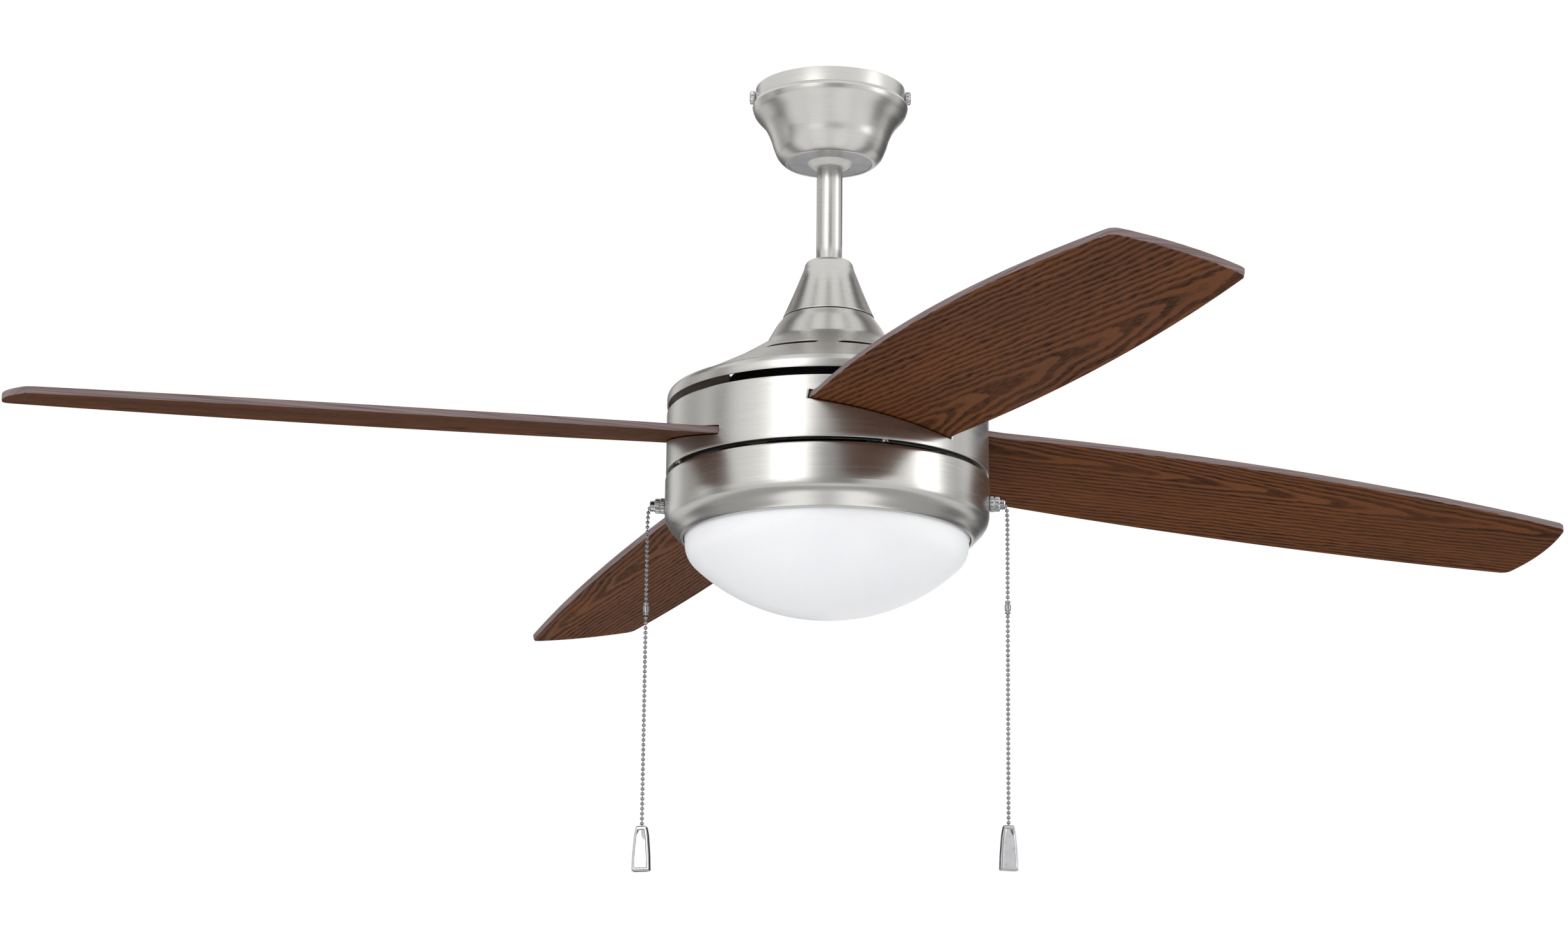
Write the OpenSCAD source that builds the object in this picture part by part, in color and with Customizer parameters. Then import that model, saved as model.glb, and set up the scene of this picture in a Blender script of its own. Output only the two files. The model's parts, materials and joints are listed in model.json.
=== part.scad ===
// Ceiling fan with a bowl light: four blades that pass through slots in a turning band.
// Origin: centre of the canopy's top rim, in the plane of the ceiling. +Z points up into the ceiling.
// Millimetres throughout.

/* [Overall] */
// Diameter swept by the blade tips
sweep_d = 1321; // [1000:1:1600]
// Diameter of the motor housing, measured over the turning band
housing_d = 260; // [250:1:330]
// Length of the downrod
rod_l = 170; // [160:1:600]
// Angle of the first blade from the X axis at rest
start_angle = 21; // [0:1:89]

/* [Canopy and hanger] */
// Diameter of the canopy's top rim
canopy_rim_d = 123; // [120:0.5:160]
// Height of the straight part of the rim
canopy_rim_h = 12; // [8:0.5:16]
// How far the shoulder below the rim stands out past it
canopy_bulge = 2.5; // [1:0.1:5]
// Height of the canopy
canopy_h = 63.5; // [60:0.5:90]
// Diameter of the canopy's mouth
canopy_mouth_d = 69.4; // [66:0.2:80]
// Thickness of the canopy's sheet
canopy_wall = 1.2; // [0.8:0.1:2]
// Distance between the two outlet-box screw slots
box_spacing = 89; // [80:0.5:92]
// Width of each outlet-box slot
box_slot_w = 5.2; // [4.6:0.1:6]
// End-to-end length of each outlet-box slot
box_slot_l = 12; // [8:0.5:14]
// Diameter of the hanger ball
ball_d = 50; // [46:0.5:52]
// Diameter of the hole that the ball sits in, at the bracket's lower face
ball_hole_d = 36.6; // [34:0.2:40]

/* [Downrod and yoke] */
// Outside diameter of the downrod
rod_d = 21; // [19:0.1:23]
// Wall of the downrod
rod_wall = 1.8; // [1.5:0.1:2.2]
// Outside diameter of the motor yoke's collar
yoke_d = 30; // [28:0.5:33]
// Diameter of the clevis pin
pin_d = 6.4; // [5:0.1:7]
// Height of the conical yoke cover
yoke_cover_h = 49.5; // [45:0.5:60]
// Outside diameter at the top of the conical yoke cover
yoke_cover_top_d = 40; // [38:0.5:46]
// Outside diameter at the foot of the conical yoke cover
neck_d = 74; // [72:0.5:90]

/* [Housing] */
// Height of the sloped top cover, from its lip to its neck
cover_h = 75.7; // [74:0.1:95]
// Thickness of the housing sheets
sheet = 1.2; // [0.8:0.1:1.6]
// Number of vent slots round the top cover
vent_count = 8; // [6:1:10]
// Gap between the top cover and the turning band
cover_gap = 6.3; // [4:0.1:10]
// Height of the turning band
band_h = 50; // [46:0.5:70]
// Gap between the turning band and the light ring
ring_gap = 3.6; // [3:0.1:6]

/* [Motor] */
// Outside diameter of the motor shells
motor_d = 160; // [150:1:170]
// Height of the motor shells over their hubs
motor_h = 68; // [66:0.5:70]
// Diameter of the hollow motor shaft
shaft_d = 16; // [15.6:0.1:17]
// Bore of the hollow motor shaft
shaft_bore_d = 12; // [11.8:0.1:13]
// Number of stator teeth
tooth_count = 12; // [9:1:12]
// Thickness of the stator's lamination stack
stack_h = 22; // [16:1:24]
// Number of balls in each bearing
ball_count = 10; // [6:1:12]

/* [Blades] */
// Width of a blade where it leaves the band
blade_root_w = 120; // [100:1:124]
// Width of a blade at its tip
blade_tip_w = 99; // [80:1:130]
// How far the leading edge swells past a straight line
lead_belly = 17.5; // [0:0.5:25]
// How far the trailing edge swells past a straight line
trail_belly = 11; // [0:0.5:20]
// Thickness of a blade
blade_t = 5.4; // [4:0.1:7]
// Pitch of a blade about its own length
blade_pitch = 10; // [6:0.5:14]
// Downward slope of a blade towards its tip
blade_droop = 2.5; // [0:0.1:3]

/* [Light kit] */
// Diameter of the light ring
ring_d = 261; // [256:1:320]
// Height of the light ring
ring_h = 49.5; // [48:0.5:60]
// Diameter of the opening in the light ring's lower lip
ring_mouth_d = 232; // [228:0.5:250]
// Diameter of the glass bowl
bowl_d = 228; // [216:1:246]
// Radius of the bowl's dome
bowl_dome_r = 157; // [140:1:200]
// Radius between the bowl's dome and its straight rim
bowl_corner_r = 21; // [12:1:30]
// Thickness of the glass
glass_t = 3; // [2:0.1:5]
// Angle the light kit stands turned from the X axis
kit_turn = -3; // [-10:1:10]
// Diameter of each lamp bulb
bulb_d = 40; // [30:1:44]

/* [Pull chains] */
// Diameter of the bead chain
chain_d = 3.2; // [2.4:0.1:3.6]
// Drop of the chain from its nozzle to the top of the fob
chain_drop = 260.5; // [150:1:300]
// Height of a fob
fob_h = 36; // [25:1:50]
// Width of a fob at its top
fob_top_w = 9; // [8:0.5:14]
// Width of a fob at its foot
fob_foot_w = 14.5; // [12:0.5:22]
// Depth of a fob
fob_depth = 6; // [5:0.5:10]
// Outside diameter of the chain nozzles
nozzle_d = 9.2; // [7:0.1:10]

/* [Hidden] */

$fn = 96;
SMALL_FN = 32;
fit = 0.05;                  // radial clearance of a shaft in its hole
slack = 0.3;                 // clearance between pieces that only pass each other

// Canopy and hanger levels
canopy_rim_r = canopy_rim_d / 2;
canopy_mouth_r = canopy_mouth_d / 2;
canopy_side_r = canopy_rim_r - canopy_wall;
shoulder_r = canopy_rim_r + canopy_bulge;
shoulder_z = -canopy_rim_h - 3.5;
// Shoulder to mouth, as shares of the way in and of the way down
CANOPY_CURVE = [[1, 0], [0.92, 0.13], [0.66, 0.32], [0.49, 0.53], [0.39, 0.72], [0.27, 0.885],
    [0.1, 0.985], [0, 1]];
plate_t = 2;                 // sheet of the hanger bracket
ring_z = -canopy_h + 0.5;    // lower face of the bracket's ring
ring_r = canopy_mouth_r - slack;
ball_r = ball_d / 2;
ball_z = ring_z + sqrt(pow(ball_r, 2) - pow(ball_hole_d / 2, 2));
leg_x = ring_r - 4;
ear_x = canopy_side_r - 3.5;
canopy_screw_z = -canopy_rim_h / 2;
canopy_screw_r = 2;
thumb_r = canopy_rim_h / 2 - 0.4; // knurled heads of the canopy screws
thumb_h = 4.8;
bracket_w = 34;              // plate, legs and ears of the bracket
leg_w = 26;
ear_w = 14;
ear_below = 6;
tab_w = 3;                   // tab that keeps the ball from turning
ball_over = 14;              // flats of the ball above and below its centre
ball_under = 21;
set_screw_r = 2.5;
ball_screw_up = 8;
yoke_screw_up = 10;
GROUND_AT = [-22, -11];
wire_hole_r = 14;

// Downrod and yoke levels
rod_r = rod_d / 2;
rod_top = ball_z + ball_over + 2;
rod_foot = rod_top - rod_l;
pin_z = rod_foot + 18;
yoke_r = yoke_d / 2;
yoke_top = pin_z + 17;
neck_r = neck_d / 2;
neck_z = rod_foot + 3;
lead_r = 0.9;
lead_x = 1.3;
lead_y = pin_d / 2 + lead_r + 0.4;
lead_bend_l = 11;
LEAD_BEND = [8, 8, 4];       // way the leads go over the ball
clip_r = 0.9;                // wire of the cotter clip
flange_t = 4;                // flange of the yoke under the neck

// Housing levels
housing_r = housing_d / 2;
cover_lip = neck_z - cover_h;
crease_r = neck_r + 13.5;
crease_z = neck_z - 22;
vent_turn = 0.74 * 360 / vent_count;
vent_r = crease_r + 0.31 * (housing_r - crease_r);
vent_w = 7;
band_top = cover_lip - cover_gap;
band_foot = band_top - band_h;
band_in = housing_r - sheet;
ring_top = band_foot - ring_gap;

// Motor levels
motor_r = motor_d / 2;
motor_foot = band_top - 17;
motor_top = motor_foot + motor_h;
split_z = motor_foot + 28;
stack_mid = motor_foot + 30;
shaft_r = shaft_d / 2;
race_in = shaft_r + 3.2;     // outside of the bearings' inner rings
race_ball_r = 2.25;
race_out = race_in + 2 * race_ball_r + 0.1;
seat_r = race_out + 3.2;
bearing_h = 8;
upper_bearing = motor_top - 2 - bearing_h;
lower_bearing = motor_foot + 2;
stator_r = 60;
rotor_in = stator_r + 0.6;
shell_in = motor_r - 2.5;
fly_r = motor_r + 8;
fly_t = 4;
fly_foot = motor_foot - fly_t;
yoke_foot = motor_top + 2;
yoke_flange_r = neck_r - 7;
yoke_bolt_r = yoke_flange_r - 6;
hub_r = 24;                  // bearing hubs of the shells
hub_h = 12;
shoulder_drop = 18;          // from the top hub down to the shell's shoulder
shell_bolt_r = motor_r - 9;
hub_bolt_r = 50;
core_r = 26;                 // solid middle of the stator
tooth_w = 9;
shoe_t = 6;
shoe_turn = 300 / tooth_count;
coil_in = 34;
coil_l = 17;
coil_w = 13.6;
coil_over = 5;               // how far the coils stand past the stack
m4_r = 2;
m4_head_r = 3.6;
m4_head_h = 2.5;

// Blade frame: each blade lies along +X of its own frame, underside in its XY plane
blade_z = band_top - 24;
blade_in = housing_r - 38;   // where a blade starts, inside the band
blade_out = sweep_d / 2 / cos(blade_droop);
slot_w = blade_root_w + 3;
slot_gap = 1.1;
arm_t = 3;
arm_out = housing_r - 12;
arm_w = 68;
arm_in = 50;
arm_tab_w = 36;
ARM_BOLTS = [60, 76];        // radii of the screws between arms and flywheel
blade_screw_r = 2.2;
TIP_ROUND = 6;               // corners of a blade's tip
tip_bow = 7;
EDGE_STEPS = 16;
BLADE_HOLES = [[blade_in + 8, -22], [blade_in + 8, 22], [blade_in + 18, 0]];
spider_t = 2;
lip_w = 8;                   // inward lips of the band
spider_top = band_foot + sheet + spider_t;
sleeve_in = 24;
sleeve_out = 36;
sleeve_bolt_r = (sleeve_in + sleeve_out) / 2;
spider_w = 16;
band_bolt_r = housing_r - 4.5;
band_screw_r = 1.5;

// Light kit levels
kit_r = ring_d / 2;
ring_foot = ring_top - ring_h;
ring_wall = 1.5;
deck_foot = ring_top - ring_wall;
shaft_foot = ring_top - 13;
mouth_r = ring_mouth_d / 2;
nozzle_z = ring_top - 19.5;
nozzle_r = nozzle_d / 2;
nozzle_end = kit_r + 12.5;
nozzle_bore_r = 2.2;
kit_plate_r = 44;
plate_bolt_r = 32;
nut_r = 13;                  // nut on the shaft
nut_h = 6;
SWITCH = [28, 22, 16];
CAPACITOR = [46, 18, 21];
CAPACITOR_AT = [-88, 22];
window_l = 12;               // window of the reverse knob
window_h = 5;
neck_bore_r = nozzle_r + fit;
lamp_z = ring_top - 34;
bulb_r = bulb_d / 2;
lamp_l = 74;
lamp_neck_r = 12.4;
socket_r = 14;
socket_h = 30;
socket_y = 12;               // from the kit's axis to the socket's back
post_x = 26;                 // posts and bridge of the lamp bracket
bridge_up = 16;
bowl_r = bowl_d / 2;
bowl_top = ring_foot + 11;
corner_z = ring_foot - 3.8;
dome_z = corner_z + sqrt(pow(bowl_dome_r - bowl_corner_r, 2) - pow(bowl_r - bowl_corner_r, 2));
dome_turn = asin((bowl_r - bowl_corner_r) / (bowl_dome_r - bowl_corner_r));
hook_count = 4;
hook_turn = 16;
hook_r = bowl_r - glass_t - 10;
tab_z = bowl_top - 2.5;
collar_t = 0.9;
reverse_z = ring_top - 14;

// Pull chain route: straight out of the nozzle's mouth and down, as distances from the kit's axis and
// from the nozzle's
chain_r = chain_d / 2;
chain_x = nozzle_end + chain_r + 0.2;
chain_top = nozzle_z + 1;
fob_top = nozzle_z - chain_drop;
coupling_z = nozzle_z - 85;
coupling_h = 10.5;
CHAIN_DROPS = [0, 6, 20, 45, 70, 95, 120, 145, 170, 195, 220, 240, 250];
chain_foot = fob_top - 4;

STEEL = [0.72, 0.71, 0.69];
NICKEL = [0.74, 0.72, 0.69];
DARK = [0.25, 0.25, 0.27];
WOOD = [0.35, 0.2, 0.11];
WHITE = [0.93, 0.93, 0.92];
COPPER = [0.72, 0.4, 0.2];
ALUMINIUM = [0.78, 0.79, 0.8];

// ---- Curves and profiles ----

function unit(v) = v / norm(v);
// Unit normal to the left of the way from the point before i to the point after it
function left_of(p, i) = let (d = unit(p[min(i + 1, len(p) - 1)] - p[max(i - 1, 0)])) [-d[1], d[0]];
// A closed strip of thickness t on the left of a path
function strip(p, t) = concat(p, [for (i = [len(p) - 1 : -1 : 0]) p[i] + t * left_of(p, i)]);
// Points of an arc about c, from angle a to angle b
function arc(c, r, a, b, n = 8) = [for (i = [0 : n]) c + r * [cos(a + (b - a) * i / n),
    sin(a + (b - a) * i / n)]];
// A smooth curve through points p, with n steps from each to the next
function smooth(p, n = 3) = concat([for (i = [0 : len(p) - 2], k = [0 : n - 1])
    let (t = k / n, a = p[max(i - 1, 0)], b = p[i], c = p[i + 1], d = p[min(i + 2, len(p) - 1)])
    b + 0.5 * t * (c - a + t * (2 * a - 5 * b + 4 * c - d + t * (3 * (b - c) + d - a)))], [p[len(p) - 1]]);

module turned(points) {
    rotate_extrude() polygon(points);
}

// A tube along Z between two levels
module tube(r_out, r_in, z0, z1) {
    difference() {
        translate([0, 0, z0]) cylinder(r = r_out, h = z1 - z0);
        translate([0, 0, z0 - 1]) cylinder(r = r_in, h = z1 - z0 + 2);
    }
}

// A screw along +Z: its head below z = 0 and its shank above
module screw(shank_r, length, head_r, head_h) {
    union() {
        cylinder(r = shank_r, h = length, $fn = SMALL_FN);
        translate([0, 0, -head_h]) cylinder(r = head_r, h = head_h, $fn = SMALL_FN);
    }
}

// Places what points along +Z at p, pointing along d
module along(p, d) {
    translate(p) rotate([0, acos(d[2] / norm(d)), atan2(d[1], d[0])]) children();
}

module around(n, first = 0) {
    for (i = [0 : n - 1]) rotate([0, 0, first + 360 * i / n]) children();
}

module in_blade_frame(i) {
    rotate([0, 0, start_angle + 90 * i]) translate([0, 0, blade_z])
        rotate([0, blade_droop, 0]) rotate([-blade_pitch, 0, 0]) children();
}

// Turns what points along +Z so that it points along +X
module along_x() {
    rotate([0, 90, 0]) children();
}

// ---- Canopy and hanger ----

function canopy_path() = concat([[canopy_rim_r, 0], [canopy_rim_r, -canopy_rim_h],
    [shoulder_r - 1, -canopy_rim_h - 0.8]],
    smooth([for (c = CANOPY_CURVE) [canopy_mouth_r + (shoulder_r - canopy_mouth_r) * c[0],
        shoulder_z - (canopy_h + shoulder_z) * c[1]]]));

module hanger_bracket() color(STEEL) difference() {
    union() {
        // Plate against the ceiling box
        translate([-ear_x, -bracket_w / 2, -plate_t]) cube([2 * ear_x, bracket_w, plate_t]);
        for (s = [-1, 1]) {
            // Legs down to the ring
            translate([s * leg_x - plate_t / 2, -leg_w / 2, ring_z]) cube([plate_t, leg_w, -ring_z]);
            // Ears for the canopy screws
            translate([s * ear_x - plate_t / 2, -ear_w / 2, canopy_screw_z - ear_below])
                cube([plate_t, ear_w, ear_below - canopy_screw_z]);
        }
        translate([0, 0, ring_z]) cylinder(r = ring_r, h = plate_t);
        // Tab that stops the ball turning about the rod
        translate([-tab_w / 2, ball_hole_d / 2 + 2.5, ring_z]) cube([tab_w, 5, 9]);
    }
    translate([0, 0, ball_z]) sphere(r = ball_r + fit, $fn = 96);
    translate([0, 0, -plate_t - 1]) cylinder(r = wire_hole_r, h = plate_t + 2);
    for (s = [-1, 1]) {
        translate([s * box_spacing / 2, 0, -plate_t - 1]) slot_cut();
        translate([s * ear_x, 0, canopy_screw_z]) along_x()
            cylinder(r = canopy_screw_r + fit, h = 5 * plate_t, center = true, $fn = SMALL_FN);
    }
    // Ground screw hole
    translate([GROUND_AT[0], GROUND_AT[1], -plate_t - 1])
        cylinder(r = m4_r + fit, h = plate_t + 2, $fn = SMALL_FN);
}

// A slot with round ends, along X
module slot_cut() {
    reach = (box_slot_l - box_slot_w) / 2;
    for (s = [-1, 1]) translate([s * reach, 0, 0]) cylinder(r = box_slot_w / 2, h = plate_t + 2);
    translate([-reach, -box_slot_w / 2, 0]) cube([2 * reach, box_slot_w, plate_t + 2]);
}

module canopy() color(NICKEL) difference() {
    turned(strip(canopy_path(), -canopy_wall));
    for (s = [-1, 1]) translate([s * canopy_rim_r, 0, canopy_screw_z]) along_x()
        cylinder(r = canopy_screw_r + slack, h = 12, center = true, $fn = SMALL_FN);
}

module canopy_screws() color(STEEL) for (s = [-1, 1])
    translate([s * (canopy_rim_r + 0.1), 0, canopy_screw_z]) rotate([0, -90 * s, 0])
        screw(canopy_screw_r, canopy_rim_r - ear_x + 4, thumb_r, thumb_h);

module ground_screw() color([0.3, 0.5, 0.3])
    translate([GROUND_AT[0], GROUND_AT[1], -plate_t]) screw(m4_r, 2 * plate_t - 2.2, m4_head_r, 2);

module hanger_ball() color(WHITE) difference() {
    translate([0, 0, ball_z]) sphere(r = ball_r, $fn = 96);
    translate([-ball_r, -ball_r, ball_z + ball_over]) cube(2 * ball_r);
    translate([-ball_r, -ball_r, ball_z - ball_under - 2 * ball_r]) cube(2 * ball_r);
    translate([0, 0, ball_z - ball_r - 1]) cylinder(r = rod_r + fit, h = 2 * ball_r + 2);
    // Groove for the bracket's tab
    translate([-tab_w / 2 - 0.5, ball_hole_d / 2 - 5, ball_z - ball_r])
        cube([tab_w + 1, ball_r, 2 * ball_r]);
    translate([0, 0, ball_z]) along_x()
        cylinder(r = pin_d / 2 + fit, h = 2 * ball_r + 2, center = true, $fn = SMALL_FN);
    translate([0, 0, ball_z + ball_screw_up]) rotate([90, 0, 0])
        cylinder(r = set_screw_r + fit, h = 2 * ball_r, $fn = SMALL_FN);
}

module ball_pin() color(STEEL)
    translate([0, 0, ball_z]) along_x()
        cylinder(r = pin_d / 2, h = 2 * ball_r - 6, center = true, $fn = SMALL_FN);

module downrod() color(NICKEL) difference() {
    tube(rod_r, rod_r - rod_wall, rod_foot, rod_top);
    for (z = [ball_z, pin_z]) translate([0, 0, z]) along_x()
        cylinder(r = pin_d / 2 + fit, h = 2 * rod_r + 2, center = true, $fn = SMALL_FN);
}

// One in the ball and two in the yoke, all pressing on the rod
module set_screws() color(DARK) {
    translate([0, -rod_r - 0.1, ball_z + ball_screw_up]) rotate([90, 0, 0])
        cylinder(r = set_screw_r, h = 9, $fn = SMALL_FN);
    for (s = [-1, 1]) translate([0, s * (rod_r + 0.15), pin_z + yoke_screw_up]) rotate([-90 * s, 0, 0])
        cylinder(r = set_screw_r, h = yoke_r - rod_r + 2, $fn = SMALL_FN);
}

// ---- Yoke, yoke cover and top cover ----

module yoke_cover() color(NICKEL) turned(strip(concat(
    [[rod_r + 0.8, neck_z + yoke_cover_h]],
    arc([yoke_cover_top_d / 2 - 6, neck_z + yoke_cover_h - 6], 6, 90, 20, 6),
    smooth([[yoke_cover_top_d / 2 + 0.6, neck_z + yoke_cover_h - 8],
        [yoke_cover_top_d / 2 + (neck_r - yoke_cover_top_d / 2) * 0.56, neck_z + yoke_cover_h * 0.37],
        [neck_r, neck_z + 0.7]], 4), [[neck_r, neck_z]]), -sheet));

module motor_yoke() color(STEEL) difference() {
    union() {
        translate([0, 0, yoke_foot]) cylinder(r = yoke_r, h = yoke_top - yoke_foot);
        translate([0, 0, neck_z - sheet - flange_t]) cylinder(r = yoke_flange_r, h = flange_t);
    }
    translate([0, 0, rod_foot - 0.2]) cylinder(r = rod_r + fit, h = yoke_top - rod_foot + 1);
    translate([0, 0, yoke_foot - 1]) cylinder(r = shaft_r + fit, h = rod_foot - yoke_foot + 2);
    translate([0, 0, pin_z]) along_x()
        cylinder(r = pin_d / 2 + fit, h = 2 * yoke_r + 2, center = true, $fn = SMALL_FN);
    translate([0, 0, pin_z + yoke_screw_up]) rotate([90, 0, 0])
        cylinder(r = set_screw_r + fit, h = 2 * yoke_r + 2, center = true, $fn = SMALL_FN);
    around(3, 90) translate([yoke_bolt_r, 0, neck_z - sheet - flange_t - 1])
        cylinder(r = m4_r + fit, h = flange_t + 2, $fn = SMALL_FN);
}

module clevis_pin() color(STEEL) difference() {
    union() {
        translate([-yoke_r - 1, 0, pin_z]) along_x()
            cylinder(r = pin_d / 2, h = 2 * yoke_r + 6, $fn = SMALL_FN);
        translate([-yoke_r - 2.5, 0, pin_z]) along_x() cylinder(r = pin_d / 2 + 1.8, h = 2, $fn = SMALL_FN);
    }
    translate([yoke_r + 2, 0, pin_z]) rotate([90, 0, 0])
        cylinder(r = clip_r + fit, h = pin_d + 2, center = true, $fn = SMALL_FN);
}

// A bent wire: a straight leg through the pin and an eye at its end
module cotter_clip() color(STEEL) union() {
    translate([yoke_r + 2, 0, pin_z]) rotate([90, 0, 0])
        cylinder(r = clip_r, h = 13, center = true, $fn = SMALL_FN);
    translate([yoke_r + 2, 9.2, pin_z]) rotate([0, 90, 0]) rotate_extrude() translate([2.9, 0])
        circle(r = clip_r, $fn = SMALL_FN);
}

function cover_path() = concat(
    [[yoke_r + slack + 0.4, neck_z], [neck_r, neck_z]],
    smooth([[neck_r + 0.6, neck_z - 1], [neck_r + 6, neck_z - 8.5], [crease_r, crease_z]]),
    smooth([[crease_r + 2, crease_z - 1.8],
        [crease_r + (housing_r - crease_r) * 0.33, crease_z - (crease_z - cover_lip) * 0.32],
        [crease_r + (housing_r - crease_r) * 0.63, crease_z - (crease_z - cover_lip) * 0.56],
        [housing_r - 10, cover_lip + 13.5]]),
    arc([housing_r - 6, cover_lip + 6], 6, 50, 0, 5), [[housing_r, cover_lip]]);

module top_cover() color(NICKEL) difference() {
    turned(strip(cover_path(), -sheet));
    // Vents: slots round the slope
    around(vent_count, -90 + 180 / vent_count - vent_turn / 2)
        rotate_extrude(angle = vent_turn)
            polygon([[vent_r, cover_lip], [vent_r + vent_w, cover_lip],
                [vent_r + vent_w, crease_z], [vent_r, crease_z]]);
    around(3, 90) translate([yoke_bolt_r, 0, neck_z - sheet - 1])
        cylinder(r = m4_r + slack, h = sheet + 2, $fn = SMALL_FN);
}

// Three through the top cover into the yoke, three through the light ring into the kit plate
module housing_screws() color(STEEL) {
    around(3, 90) translate([yoke_bolt_r, 0, neck_z]) rotate([180, 0, 0])
        screw(m4_r, sheet + flange_t - 0.2, m4_head_r, m4_head_h);
    around(3, 30) translate([plate_bolt_r, 0, deck_foot - plate_t])
        screw(m4_r, ring_wall + plate_t - 0.2, m4_head_r, m4_head_h);
}

// ---- Motor ----

module motor_shaft() color(STEEL) difference() {
    tube(shaft_r, shaft_bore_d / 2, shaft_foot, rod_foot - 1);
    // Side window for the stator's leads
    translate([0, -2, split_z + 18]) cube([shaft_r + 2, 4, 8]);
}

module stator_core() color(DARK) difference() {
    union() {
        translate([0, 0, stack_mid - stack_h / 2]) cylinder(r = core_r, h = stack_h);
        around(tooth_count) translate([core_r - 4, -tooth_w / 2, stack_mid - stack_h / 2])
            cube([stator_r - core_r + 1, tooth_w, stack_h]);
        around(tooth_count, -shoe_turn / 2) rotate_extrude(angle = shoe_turn)
            translate([stator_r - shoe_t, stack_mid - stack_h / 2]) square([shoe_t, stack_h]);
    }
    translate([0, 0, stack_mid - stack_h]) cylinder(r = shaft_r + fit, h = 2 * stack_h);
}

module stator_windings() color(COPPER) around(tooth_count) difference() {
    translate([coil_in, -coil_w / 2, stack_mid - stack_h / 2 - coil_over])
        cube([coil_l, coil_w, stack_h + 2 * coil_over]);
    translate([coil_in - 1, -tooth_w / 2 - 0.2, stack_mid - stack_h / 2 - 0.2])
        cube([coil_l + 2, tooth_w + 0.4, stack_h + 0.4]);
}

module bearing_inner_rings() color(STEEL) for (z = [upper_bearing, lower_bearing])
    tube(race_in, shaft_r + fit, z, z + bearing_h);

module bearing_outer_rings() color(STEEL) for (z = [upper_bearing, lower_bearing])
    tube(seat_r, race_out, z, z + bearing_h);

module bearing_balls() color(STEEL) for (z = [upper_bearing, lower_bearing])
    around(ball_count) translate([race_in + race_ball_r + 0.05, 0, z + bearing_h / 2])
        sphere(r = race_ball_r, $fn = SMALL_FN);

module shell_bolt_holes() around(6, 15)
    translate([shell_bolt_r, 0, motor_foot - 1]) cylinder(r = m4_r + fit, h = motor_h, $fn = SMALL_FN);

module motor_top_shell() color(DARK) difference() {
    turned([[seat_r + fit, motor_top], [hub_r, motor_top], [hub_r + 10, motor_top - 5],
        [motor_r - 4, motor_top - shoulder_drop], [motor_r, motor_top - 22],
        [motor_r, split_z], [shell_in, split_z], [shell_in, motor_top - 23],
            [motor_r - 5.5, motor_top - 21],
        [hub_r + 9, motor_top - 8.2], [hub_r, motor_top - 4.5], [hub_r, motor_top - hub_h],
            [seat_r + fit, motor_top - hub_h]]);
    shell_bolt_holes();
    around(6, 15) translate([shell_bolt_r, 0, motor_top - shoulder_drop])
        cylinder(r = m4_head_r + slack, h = 12, $fn = SMALL_FN);
}

module motor_bottom_shell() color(DARK) difference() {
    turned([[seat_r + fit, motor_foot], [motor_r - 4, motor_foot], [motor_r, motor_foot + 4],
        [motor_r, split_z], [shell_in, split_z],
        [shell_in, motor_foot + 5], [motor_r - 5, motor_foot + 3], [hub_r, motor_foot + 3],
            [hub_r, motor_foot + hub_h], [seat_r + fit, motor_foot + hub_h]]);
    shell_bolt_holes();
    around(4, start_angle + 45) translate([hub_bolt_r, 0, motor_foot - 1])
        cylinder(r = m4_r + fit, h = 6, $fn = SMALL_FN);
}

module rotor_core() color([0.45, 0.45, 0.47]) difference() {
    tube(shell_in - 0.1, rotor_in, stack_mid - stack_h / 2 - 1, stack_mid + stack_h / 2 + 1);
    shell_bolt_holes();
}

module shell_screws() color(STEEL) around(6, 15)
    translate([shell_bolt_r, 0, motor_top - shoulder_drop]) rotate([180, 0, 0])
        screw(m4_r, motor_h - shoulder_drop - 0.4, m4_head_r, m4_head_h);

module flywheel() color(ALUMINIUM) difference() {
    union() {
        translate([0, 0, fly_foot]) cylinder(r = fly_r, h = fly_t);
        translate([0, 0, spider_top]) cylinder(r = sleeve_out, h = fly_foot - spider_top + 1);
    }
    translate([0, 0, spider_top - 1]) cylinder(r = sleeve_in, h = fly_foot + fly_t - spider_top + 2);
    around(4, start_angle + 45) translate([hub_bolt_r, 0, fly_foot - 1])
        cylinder(r = m4_r + fit, h = fly_t + 2, $fn = SMALL_FN);
    around(4, start_angle + 45) translate([sleeve_bolt_r, 0, spider_top - 1])
        cylinder(r = m4_r + fit, h = 12, $fn = SMALL_FN);
    around(4, start_angle) for (u = ARM_BOLTS) translate([u, 0, fly_foot - 1])
        cylinder(r = m4_r + fit, h = fly_t + 2, $fn = SMALL_FN);
}

// Flywheel to motor, blade arms to flywheel, spider to flywheel
module rotor_screws() color(STEEL) {
    around(4, start_angle + 45) translate([hub_bolt_r, 0, fly_foot])
        screw(m4_r, fly_t + 2.8, m4_head_r, m4_head_h);
    around(4, start_angle) for (u = ARM_BOLTS) translate([u, 0, fly_foot - arm_t])
        screw(m4_r, arm_t + fly_t - 0.2, m4_head_r, m4_head_h);
    around(4, start_angle + 45) translate([sleeve_bolt_r, 0, spider_top - spider_t])
        screw(m4_r, 12, m4_head_r, m4_head_h - 0.5);
}

// ---- Blades ----

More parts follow.
